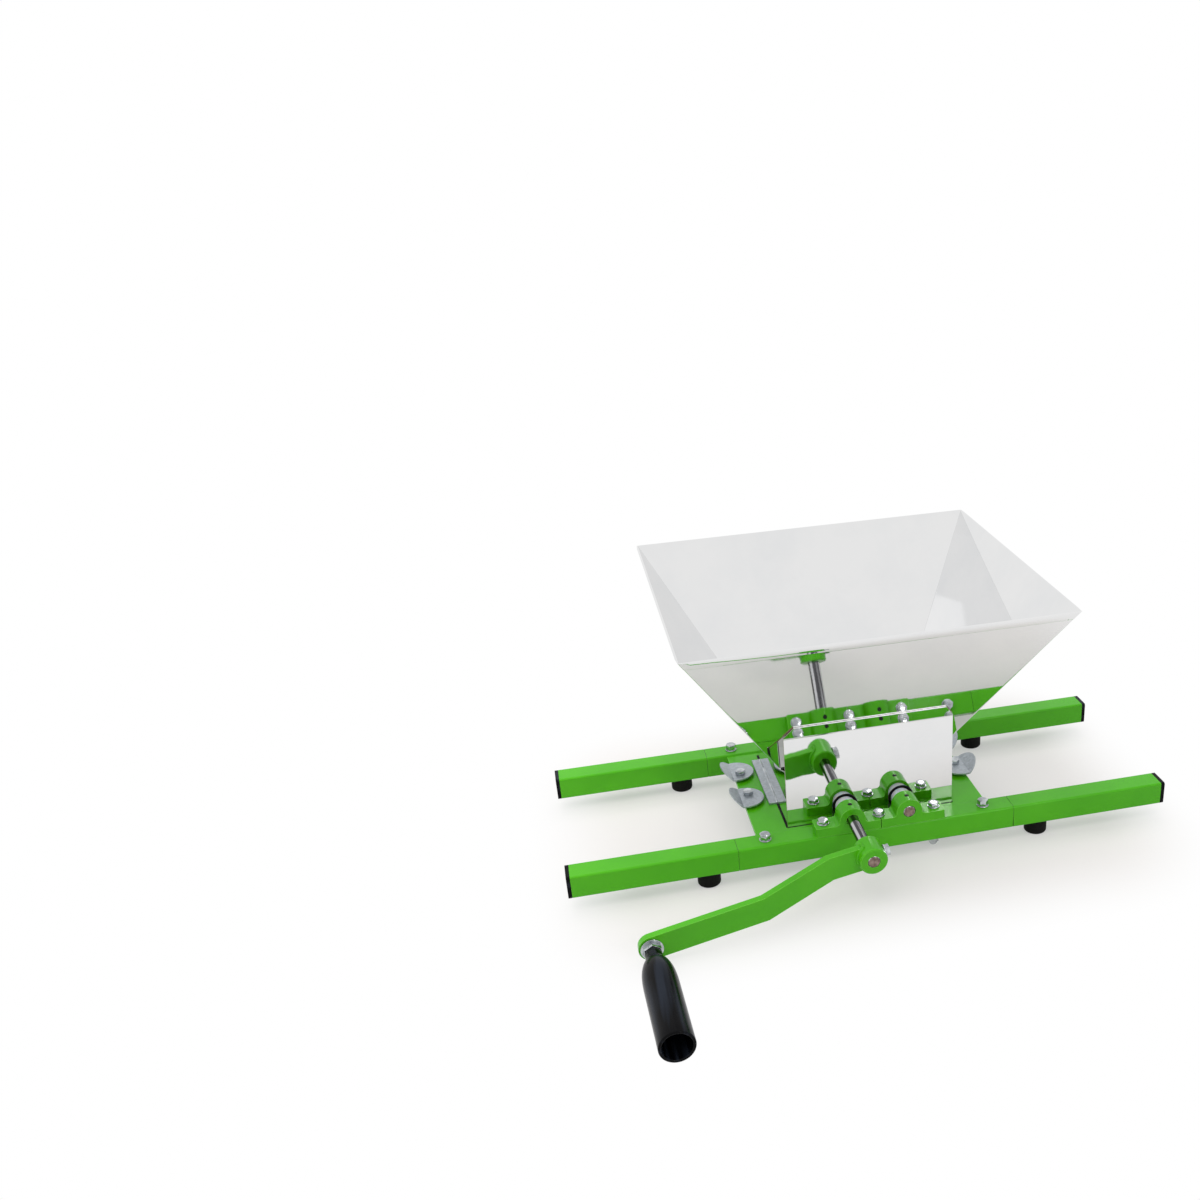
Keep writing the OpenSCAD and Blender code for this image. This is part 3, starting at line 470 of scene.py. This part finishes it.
def bolt_head(bm, at, z0, af, height, turn):
    """A forged hexagon head: domed top, chamfered corners and a bearing ring below."""
    n = HEAD_POINTS
    rim = af / 2 * 0.94
    slope = math.tan(math.radians(28))
    lead = 0.35 * MM
    top = z0 + height

    def chamfer(r):
        return top - lead - (r - rim) * slope

    def skirt(r):
        return z0 + 0.25 * MM + max(0, r - af / 2) * 0.5

    loft(bm, [
        circle(af / 2 * 0.93, z0, n, at),
        hexagon(af * 0.985, lambda r: z0 + 0.12 * MM, n, at, turn),
        hexagon(af, skirt, n, at, turn),
        hexagon(af, chamfer, n, at, turn),
        hexagon(af * 0.985, lambda r: chamfer(r) + 0.12 * MM, n, at, turn),
        circle(rim * 0.97, top - 0.1 * MM, n, at),
        circle(rim * 0.88, top, n, at),
        circle(rim * 0.5, top + 0.06 * MM, n, at),
        circle(rim * 0.1, top + CROWN, n, at),
    ])


def threaded_rod(bm, at, z0, z1, d, pitch, plain_from):
    """A bolt's shank from its tip z0 up to z1; below plain_from it carries a thread."""
    n, steps = 24, 4  # points round the shank, and levels to one turn of the thread
    depth = 0.54 * pitch
    root = d / 2 - depth
    rings = [circle(root * 0.9, z0, n, at)]
    turns = max(1, int((plain_from - z0) / pitch))
    for k in range(turns * steps + 1):
        ring = []
        for i, p in enumerate(circle(1, 0, n)):
            phase = (k / steps - i / n) % 1.0
            crest = 1 - abs(2 * phase - 1)
            r = root + depth * min(1, max(0, crest * 1.25 - 0.1))
            if k < steps:  # the first turn rises from the tip
                r = min(r, root + depth * k / steps)
            ring.append(Vector((at[0] + r * p.x, at[1] + r * p.y, z0 + k * pitch / steps)))
        rings.append(ring)
    top = z0 + turns * pitch
    rings.append(circle(d / 2, top + pitch / 8, n, at))
    rings.append(circle(d / 2, z1, n, at))
    loft(bm, rings)


def bolts(node, thread, rise=0.0):
    """Replaces the plain M5 bolts of a CAD node by forged ones with this length of thread; their
    heads may rise above the plain ones."""
    d, pitch, af, head = 5 * MM, 0.8 * MM, 8 * MM, 3.5 * MM
    bm = bmesh.new()
    for k, (lo, hi) in enumerate(solids(node)):
        at = ((lo.x + hi.x) / 2, (lo.y + hi.y) / 2)
        z0 = hi.z - head - CROWN
        turn = math.radians((k * 37) % 60)  # no two neighbours are turned alike
        bolt_head(bm, at, z0, af, head + rise, turn)
        threaded_rod(bm, at, lo.z, z0 + 0.1 * MM, d, pitch, min(lo.z + thread, z0 - 0.5 * MM))
    piece = finish_piece(node + "_forged", bm, MATERIALS["zinc"], "root")
    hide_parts(node)


def handle_nut_piece():
    """The handle's lock nut with chamfered corners and a bearing ring."""
    reach = [(v.co - HANDLE_PIVOT).dot(HANDLE_AXIS) for v in nodes["handle_nut"].data.vertices]
    start, end = min(reach), max(reach)
    height = end - start
    af, bore, chamfer, slope = 13 * MM, 4.15 * MM, 0.4 * MM, 0.55
    face = af / 2 * 0.92
    n = HEAD_POINTS
    rows = [
        circle(bore, chamfer, n),
        circle(bore + chamfer, 0, n),
        circle(face, 0, n),
        hexagon(af * 0.985, lambda r: 0.1 * MM, n),
        hexagon(af, lambda r: 0.2 * MM + (r - af / 2) * slope, n),
        hexagon(af, lambda r: height - 0.2 * MM - (r - af / 2) * slope, n),
        hexagon(af * 0.985, lambda r: height - 0.1 * MM, n),
        circle(face, height, n),
        circle(bore + chamfer, height, n),
        circle(bore, height - chamfer, n),
    ]
    turn = HANDLE_AXIS.to_track_quat("Z", "Y").to_matrix().to_4x4()
    place = Matrix.Translation(HANDLE_PIVOT + HANDLE_AXIS * start) @ turn
    bm = bmesh.new()
    loft(bm, [[place @ p for p in row] for row in rows], closed=True)
    piece = finish_piece("lock_nut", bm, MATERIALS["zinc"], "drive")
    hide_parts("handle_nut")


# ---------------------------------------------------------------- hopper and front plate
def rim_ring(corners, z, grow, corner_r, mitre):
    """One level of the hopper: four rounded corners, and between them sides moved out by grow.
    Close to a corner only the share mitre of it is left."""
    near = [k * 2 * MM for k in range(1, 5)]
    ring = []
    for i in range(4):
        here, ahead, behind = corners[i], corners[(i + 1) % 4], corners[i - 1]
        out, back = (ahead - here).normalized(), (behind - here).normalized()
        away = -(out + back).normalized()
        first, last = here + back * corner_r, here + out * corner_r
        for k in range(5):
            t = k / 4
            p = first * (1 - t) ** 2 + here * 2 * t * (1 - t) + last * t ** 2
            ring.append(p + away * grow * mitre)
        length = (ahead - here).length
        side = Vector((out.y, -out.x, 0))
        far = [near[-1] + (length - 2 * near[-1]) * k / 8 for k in range(1, 8)]
        for d in near + far + [length - e for e in reversed(near)]:
            edge = min(1.0, (min(d, length - d) - near[0]) / (near[-1] - near[0]))
            ring.append(here + out * d + side * grow * (mitre + (1 - mitre) * edge))
    return [Vector((p.x, p.y, z)) for p in ring]


def hopper_piece():
    """The hopper as folded sheet: flat walls, crisp inner seams and a flattened hem with mitred ends."""
    co = [v.co for v in nodes["hopper"].data.vertices]
    bottom, top = min(c.z for c in co), max(c.z for c in co)
    # The hem's lower edge is the first level well above the throat and clear of the rim
    levels = sorted({round(c.z, 6) for c in co})
    hem = next(z for z in levels if bottom + 20 * MM < z < top - 1 * MM)
    throat_y = [c.y for c in co if c.z < bottom + SAME]
    middle = sum(throat_y) / len(throat_y)

    def corners(z, choose):
        """The inner (min) or outer (max) corners of the CAD hopper at a level."""
        level = [c for c in co if abs(c.z - z) < SAME]
        found = []
        for sx, sy in ((-1, -1), (1, -1), (1, 1), (-1, 1)):
            part = [c for c in level if c.x * sx > 0 and (c.y - middle) * sy > 0]
            found.append(choose(part, key=lambda c: (c.x * sx, (c.y - middle) * sy)).copy())
        return found

    def between(low, high, z):
        t = (z - bottom) / (top - bottom)
        return [a.lerp(b, t) for a, b in zip(low, high)]

    outer0, inner0, inner1 = corners(bottom, max), corners(bottom, min), corners(top, min)
    # The walls' outer corners, carried on from below the hem up to the rim
    stretch = (top - bottom) / (hem - bottom)
    outer1 = [a + (b - a) * stretch for a, b in zip(outer0, corners(hem, min))]
    # The front wall is drawn in at the throat, so the steeper flange in front of it stays clear
    drawn_in = 1.0 * MM
    for low in (outer0, inner0):
        low[0].y += drawn_in
        low[1].y += drawn_in

    # Height of a level, and there the hem's share of its growth or the inner rim's of its rounding
    hem_grow, hem_corner, mitre = 0.9 * MM, 1.2 * MM, 0.15
    outside = ((bottom, 0), (hem - 0.05 * MM, 0), (hem - 0.05 * MM, 0.55), (hem + 0.15 * MM, 0.9),
               (hem + 0.5 * MM, 1), (top - 0.7 * MM, 1), (top - 0.3 * MM, 0.86),
               (top - 0.08 * MM, 0.5), (top, 0.1))
    rim_grow, seam_corner = 0.5 * MM, 0.25 * MM
    inside = ((top, 0.6), (top - 0.08 * MM, 0.35), (top - 0.3 * MM, 0.1), (top - 0.7 * MM, 0), (bottom, 0))
    rings = [rim_ring(between(outer0, outer1, z), z, share * hem_grow, hem_corner, mitre)
             for z, share in outside]
    rings += [rim_ring(between(inner0, inner1, z), z, share * rim_grow, seam_corner, 1)
              for z, share in inside]
    bm = bmesh.new()
    loft(bm, rings, closed=True)
    piece = finish_piece("folded_hopper", bm, MATERIALS["stainless"], "root", 28)
    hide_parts("hopper")


def front_plate_piece():
    """The front plate with a rounded fold; its flange stands two degrees steeper than the plain CAD one."""
    bm = bmesh.new()
    bm.from_mesh(nodes["front_plate"].data)
    bmesh.ops.remove_doubles(bm, verts=bm.verts, dist=WELD)
    bmesh.ops.dissolve_limit(bm, angle_limit=math.radians(1), verts=bm.verts, edges=bm.edges)
    low = min(v.co.z for v in bm.verts)
    face_y = min(v.co.y for v in bm.verts if v.co.z < low + SAME)
    fold_z = max(v.co.z for v in bm.verts if abs(v.co.y - face_y) < SAME)

    steeper = Matrix.Rotation(math.radians(-2), 3, "X")
    hinge = Vector((0, face_y, fold_z))
    for v in bm.verts:
        if v.co.z > fold_z + 3 * MM:
            v.co = hinge + steeper @ (v.co - hinge)
    bm.normal_update()

    # Faces no wider than the sheet is thick are cut edges: at the plate's sides brown, a painted reflection, else
    # clean
    sheet = 1.05 * MM
    clean, brown = 1, 2
    for f in bm.faces:
        if f.calc_area() < sheet * max(e.calc_length() for e in f.edges):
            f.material_index = brown if abs(f.normal.x) > 0.3 else clean

    folds = [e for e in bm.edges if all(abs(v.co.z - fold_z) < 1.2 * MM for v in e.verts)
             and abs(e.verts[0].co.x - e.verts[1].co.x) > 60 * MM]
    bmesh.ops.bevel(bm, geom=folds, offset=0.8 * MM, segments=5, affect="EDGES", profile=0.5)
    piece = finish_piece("folded_front_plate", bm, MATERIALS["stainless"], "root", 30)
    piece.data.materials.append(CLEAN_EDGE)
    piece.data.materials.append(BROWN_EDGE)
    bevel = piece.modifiers.new("soft_edges", "BEVEL")
    bevel.width = 0.2 * MM
    bevel.segments = 2
    bevel.limit_method = "ANGLE"
    bevel.angle_limit = math.radians(40)
    bevel.harden_normals = True
    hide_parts("front_plate")


# ---------------------------------------------------------------- painted shade in joints, gaps and holes, and bends
def gap_shade_rings():
    """Black rings that fill the gap round the bushes' collars in the slots of the front and rear plates: painted
    shade of that gap.
    """
    gap, lip = 0.05 * MM, 0.3 * MM
    for node, width in (("front_plate", 2.1 * MM), ("rear_plate", 0.9 * MM)):
        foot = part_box(node)[0].z
        foot_y = [v.co.y for v in nodes[node].data.vertices if v.co.z < foot + SAME]
        y0, y1 = min(foot_y), max(foot_y)
        bm = bmesh.new()
        for lo, hi in solids("bushes"):
            if not lo.y < (y0 + y1) / 2 < hi.y:
                continue
            x, z = (lo.x + hi.x) / 2, (lo.z + hi.z) / 2
            r0 = (hi.x - lo.x) / 2 + gap
            r1 = r0 + width
            groove = (r0 + r1) / 2
            # Radius, and place between the faces of the plate
            section = ((r0, 0.1), (r0, 0.9), (r0 + lip, 1.0), (groove, 0.8), (r1 - lip, 1.0),
                       (r1, 0.9), (r1, 0.1), (r1 - lip, 0), (groove, 0.2), (r0 + lip, 0))
            loft(bm, [oval(Vector((x, y0 + (y1 - y0) * t, z)), X_AXIS * r, Z_AXIS * r, 64)
                      for r, t in section], closed=True)
        piece = finish_piece(node + "_gap_shade_rings", bm, MATERIALS["black_rubber"], "root")


def seam_rings():
    """Painted shade: dark rings sunk in the bevelled grooves where the arms butt against the rails, standing in
    for the shadow in the joint.
    """
    sink, depth, half_width, corner_r = 0.22 * MM, 1.0 * MM, 0.45 * MM, 1.6 * MM
    for arm in ARMS:
        lo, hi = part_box(arm)
        x = lo.x if lo.x > 0 else hi.x
        cy, cz = (lo.y + hi.y) / 2, (lo.z + hi.z) / 2
        outer = (hi.z - lo.z) / 2 - sink
        inner = outer - depth
        section = ((outer, -half_width), (outer, half_width), (inner, half_width), (inner, -half_width))
        bm = bmesh.new()
        loft(bm, [rounded_square(Vector((x + dx, cy, cz)), half, corner_r) for half, dx in section],
             closed=True)
        piece = finish_piece(arm + "_joint", bm, GAP_SHADE, "root", 60)


def foot_joint():
    """Painted shadow: a dark strip on the base plate round the housing, where its sheets stand in the base plate.
    """
    front_width, side_width = 0.8 * MM, 1.2 * MM
    thick, sink, inset = 0.12 * MM, 0.05 * MM, 0.15 * MM
    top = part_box("base_plate")[1].z
    front = min(v.co.y for v in nodes["front_plate"].data.vertices if v.co.z < top)
    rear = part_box("rear_plate")[1].y
    bm = bmesh.new()

    def strip(x0, x1, y0, y1):
        """A low strip on the base plate, a little smaller at its top."""
        rings = []
        for z, d in ((top - sink, 0), (top + thick, inset)):
            plan = ((x0 + d, y0 + d), (x1 - d, y0 + d), (x1 - d, y1 - d), (x0 + d, y1 - d))
            rings.append([Vector((x, y, z)) for x, y in plan])
        loft(bm, rings)

    lo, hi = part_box("front_plate")
    strip(lo.x, hi.x, front - front_width, front)
    for flange, x in (("scraper_left", lo.x), ("scraper_right", hi.x)):
        flange_lo, flange_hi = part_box(flange)
        x0, x1 = sorted((x, x + math.copysign(side_width, x)))
        strip(x0, x1, front, flange_lo.y)
        strip(x0, x1, flange_hi.y, rear)
    piece = finish_piece("housing_foot_shade", bm, GAP_SHADE, "root", 60)


def oil_wells():
    """Painted shade: dark discs over the mouths of the oil holes on top of the bearing bosses."""
    # Radius of the dark disc, and its height over the round boss, in millimetres
    section = ((1.9, -0.10), (1.9, 0.02), (1.7, 0.05), (0.2, 0.05))
    shafts = [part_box(name) for name in ("drive_shaft", "driven_shaft")]
    bm = bmesh.new()
    for block in BLOCKS:
        for lo, hi in solids(block):
            near = min(shafts, key=lambda box: abs(box[0].x + box[1].x - lo.x - hi.x))
            x, z = (near[0].x + near[1].x) / 2, (near[0].z + near[1].z) / 2
            y, boss = (lo.y + hi.y) / 2, hi.z - z
            loft(bm, [[Vector((x + p.x, y + p.y, z + math.sqrt(boss ** 2 - p.x ** 2) + lift * MM))
                       for p in circle(mouth * MM, 0, 24)] for mouth, lift in section])
    piece = finish_piece("oil_wells", bm, GAP_SHADE, "root", 60)


def fold_radii():
    """The bright bend where each side wall meets the flange that lies outside it on the base plate."""
    radius, steps, sink = 1.0 * MM, 8, 0.04 * MM
    for wall, flange, out in (("left_wall", "scraper_left", -1), ("right_wall", "scraper_right", 1)):
        lo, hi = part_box(flange)
        rim = max(lo.x * out, hi.x * out) - 1 * MM
        top = max(v.co.z for v in nodes[flange].data.vertices if v.co.x * out > rim)
        face = max(v.co.x * out for v in nodes[wall].data.vertices if v.co.z > top + 10 * MM)
        section = [(face - sink, top - sink)]
        section += [(face + radius - radius * math.sin(a), top + radius - radius * math.cos(a))
                    for a in (math.pi / 2 * k / steps for k in range(steps + 1))]
        bm = bmesh.new()
        loft(bm, [[Vector((x * out, y, z)) for x, z in section] for y in (lo.y, hi.y)])
        piece = finish_piece(wall + "_fold", bm, MATERIALS["zinc"], "root", 50)


# ---------------------------------------------------------------- crank and shafts
def grip_piece():
    """The moulded grip: a smooth swelling from the neck, a rolled open end and a hollow."""
    co = [v.co - HANDLE_PIVOT for v in nodes["grip"].data.vertices]
    reach = [c.dot(HANDLE_AXIS) for c in co]
    radii = [(c - HANDLE_AXIS * t).length for c, t in zip(co, reach)]
    start, end = min(reach), max(reach)
    length = end - start
    at_neck = [r for r, t in zip(radii, reach) if t < start + SAME]
    bore, neck, big = min(at_neck), max(at_neck), max(radii)
    hollow = min(r for r, t in zip(radii, reach) if t > end - SAME)
    floor = min(t for r, t in zip(radii, reach) if abs(r - hollow) < SAME) - start

    collar, swell = 0.075 * length, 0.45 * length
    lip = (big - hollow) / 2
    foot, fillet, swell_steps = neck + 0.15 * MM, 1.5 * MM, 24
    # Radius, and distance from the neck's end face
    profile = [(bore, 0), (neck - 0.5 * MM, 0), (neck - 0.15 * MM, 0.15 * MM), (neck, 0.5 * MM),
               (neck, collar * 0.8)]
    for k in range(swell_steps + 1):
        u = (k / swell_steps) ** 1.5
        profile.append((foot + (big - foot) * (1 - (1 - u) ** 3.6), collar + (swell - collar) * u))
    profile += [(big, swell + (length - lip - swell) * k / 6) for k in range(1, 7)]
    profile += [(big - lip + lip * math.cos(a), length - lip + lip * math.sin(a))
                for a in (math.pi * k / 12 for k in range(1, 12))]
    profile += [(hollow, length - lip), (hollow, floor + fillet), (hollow - fillet, floor), (bore, floor)]

    side = HANDLE_AXIS.orthogonal().normalized()
    other = HANDLE_AXIS.cross(side)
    bm = bmesh.new()
    loft(bm, [oval(HANDLE_PIVOT + HANDLE_AXIS * (start + t), side * r, other * r, 96)
              for r, t in profile], closed=True)
    piece = finish_piece("moulded_grip", bm, MATERIALS["black_plastic"], "grip_body", 50)
    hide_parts("grip")


def shaft_ends():
    """Turned and stained end faces of the two shafts, with a small chamfer ring."""
    # Share of the shaft's radius, and height over its end in millimetres
    turned = ((0.9, 0), (0.88, 0.12), (0.60, 0.16), (0.57, 0.10), (0.3, 0.12), (0.27, 0.05), (0.05, 0.03))
    for node, body in (("drive_shaft", "drive"), ("driven_shaft", "driven")):
        lo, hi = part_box(node)
        r = (hi.x - lo.x) / 2
        x, z = (lo.x + hi.x) / 2, (lo.z + hi.z) / 2
        bm = bmesh.new()
        for y, out in ((lo.y, -1), (hi.y, 1)):
            loft(bm, [oval(Vector((x, y + out * lift * MM, z)), X_AXIS * r * share, Z_AXIS * r * share, 48)
                      for share, lift in turned])
        piece = finish_piece(node + "_end_faces", bm, SAWN, body)


def weld_bead():
    """The painted weld that joins the crank's flat bar to its hub."""
    pivot = Vector(joint["crank_turn"]["pos_m"])
    along = Vector((HANDLE_PIVOT.x - pivot.x, 0, HANDLE_PIVOT.z - pivot.z)).normalized()
    up = along.cross(Y_AXIS).normalized()
    if up.z < 0:
        up = -up
    lo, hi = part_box("crank_hub")
    middle = Vector((pivot.x, (lo.y + hi.y) / 2, pivot.z))
    hub_r, bar_half, bar_half_t = 11.2 * MM, 10 * MM, 3 * MM

    # The bead runs round the bar's section, at the distance of the hub's round side
    side_steps = 16
    reach = math.sqrt(hub_r ** 2 - bar_half ** 2)
    corners = ((bar_half, -bar_half_t), (bar_half, bar_half_t),
               (-bar_half, bar_half_t), (-bar_half, -bar_half_t))
    path = []
    for (h0, y0), (h1, y1) in zip(corners, corners[1:] + corners[:1]):
        for k in range(side_steps):
            t = k / side_steps
            h, y = h0 + (h1 - h0) * t, y0 + (y1 - y0) * t
            out = math.sqrt(max(hub_r ** 2 - h ** 2, reach ** 2 * 0.6))
            path.append(middle + Y_AXIS * y + along * out + up * h)

    rings = []
    for i, here in enumerate(path):
        ahead, behind = path[(i + 1) % len(path)], path[i - 1]
        tangent = (ahead - behind).normalized()
        outward = (along - tangent * along.dot(tangent)).normalized()
        uneven = 1.7 + 0.22 * math.sin(i * 1.9) + 0.12 * math.sin(i * 0.7 + 1)
        size = uneven * MM
        rings.append(oval(here, outward * size * 0.9, tangent.cross(outward) * size, 12))
    bm = bmesh.new()
    loft(bm, rings, closed=True)
    piece = finish_piece("crank_weld", bm, MATERIALS["green_paint"], "drive", 80)


# ---------------------------------------------------------------- stage, lamps, world
# Rays that see the pale background; all others get the real light of the world and the floor
SEEN = ("Is Camera Ray", "Is Glossy Ray", "Is Transmission Ray")


def light_path_mix(tree, seen, real, output):
    """seen is what the rays of SEEN get, real what all others get."""
    path = tree.nodes.new("ShaderNodeLightPath")
    factor = path.outputs[SEEN[0]]
    for kind in SEEN[1:]:
        either = tree.nodes.new("ShaderNodeMath")
        either.operation = "MAXIMUM"
        tree.links.new(factor, either.inputs[0])
        tree.links.new(path.outputs[kind], either.inputs[1])
        factor = either.outputs[0]
    mix = tree.nodes.new("ShaderNodeMixShader")
    tree.links.new(factor, mix.inputs[0])
    tree.links.new(real, mix.inputs[1])
    tree.links.new(seen, mix.inputs[2])
    tree.links.new(mix.outputs[0], output)


def pale_floor():
    """A floor that keeps the object's soft shadow and turns plain white further out."""
    half_footprint = (0.17, 0.10, 0)
    fade_start, fade_end, least_glow = 0.02, 0.12, 0.40
    s = Shader("pale_floor")
    s.put(Base_Color=rgb(0.76, 0.715, 0.69), Roughness=0.9)
    glow = s.node("ShaderNodeEmission", {"Strength": 1.0})
    # How far a point is outside the machine's footprint
    point = s.place
    for operation, inputs in (("ABSOLUTE", {}), ("SUBTRACT", {1: half_footprint}), ("MAXIMUM", {1: (0, 0, 0)})):
        point = s.node("ShaderNodeVectorMath", {0: point, **inputs}, operation=operation).outputs["Vector"]
    away = s.node("ShaderNodeVectorMath", {0: point}, operation="LENGTH").outputs["Value"]
    fade = s.node("ShaderNodeMapRange", {
        "Value": away, "From Min": fade_start, "From Max": fade_end, "To Min": least_glow, "To Max": 1.0,
    }, interpolation_type="SMOOTHSTEP")
    soft = s.node("ShaderNodeMixShader", {0: fade.outputs["Result"], 1: s.bsdf.outputs[0], 2: glow.outputs[0]})
    surface = s.tree.nodes["Material Output"].inputs["Surface"]
    light_path_mix(s.tree, soft.outputs[0], s.bsdf.outputs[0], surface)
    return s.material


def make_floor():
    """A floor plane just below the feet."""
    bm = bmesh.new()
    bmesh.ops.create_grid(bm, x_segments=1, y_segments=1, size=6)
    mesh = bpy.data.meshes.new("floor")
    bm.to_mesh(mesh)
    bm.free()
    mesh.materials.append(pale_floor())
    floor = bpy.data.objects.new("floor", mesh)
    floor.location = (0, RAILS_MID_Y, -0.1 * MM)
    scene.collection.objects.link(floor)


def make_world():
    """White to the camera and in metal, and a plain soft light on everything."""
    world = bpy.data.worlds.new("studio")
    scene.world = world
    world.use_nodes = True
    tree = world.node_tree
    real = tree.nodes["Background"]
    real.inputs["Color"].default_value = rgb(0.97, 0.985, 1.0)
    real.inputs["Strength"].default_value = 0.47
    white = tree.nodes.new("ShaderNodeBackground")
    white.inputs["Color"].default_value = rgb(1, 1, 1)
    surface = tree.nodes["World Output"].inputs["Surface"]
    light_path_mix(tree, white.outputs[0], real.outputs[0], surface)


def lamp(name, place, aim, size, power, colour, in_gloss):
    """A rectangular lamp aimed at a point; in_gloss says if shiny surfaces mirror it."""
    data = bpy.data.lights.new(name, "AREA")
    data.shape = "RECTANGLE"
    data.size, data.size_y = size
    data.energy = power
    data.color = colour
    obj = bpy.data.objects.new(name, data)
    obj.location = place
    obj.rotation_euler = (Vector(aim) - Vector(place)).to_track_quat("-Z", "Y").to_euler()
    obj.visible_glossy = in_gloss
    scene.collection.objects.link(obj)


def make_lamps():
    """A large lamp over the left front, one behind that puts the hopper's shadow in front, a weak
    softbox for the hopper's right side and a small lamp for highlights."""
    middle = (0, RAILS_MID_Y, 0.05)
    lamp("overhead", (-0.70, -0.30, 1.5), middle, (1.5, 1.5), 14.5, (1.0, 0.99, 0.97), False)
    # Three in one place, so that the softbox in the mirroring steel is brightest in its middle
    for size, power in ((0.25, 0.0625), (0.6, 0.173), (1.1, 0.484)):
        lamp("softbox", (-0.72, -0.28, 1.51), middle, (size, size), power, (0.97, 0.98, 1.0), True)
    lamp("behind", (0.1, 0.70, 1.45), middle, (1.6, 1.0), 12.0, (1.0, 1.0, 1.0), False)
    lamp("front", (0.55, -1.35, 1.05), (0, -0.08, 0.03), (0.30, 0.30), 3.5, (1.0, 0.98, 0.96), True)


dress_cad()
bolts("block_bolts", 6 * MM)
bolts("arm_bolts", 3 * MM, 1.8 * MM)
bolts("latch_screws", 7 * MM)
hopper_piece()
front_plate_piece()
gap_shade_rings()
seam_rings()
foot_joint()
oil_wells()
fold_radii()
handle_nut_piece()
grip_piece()
shaft_ends()
weld_bead()
make_camera()
make_floor()
make_world()
make_lamps()

scene.view_settings.view_transform = "Standard"
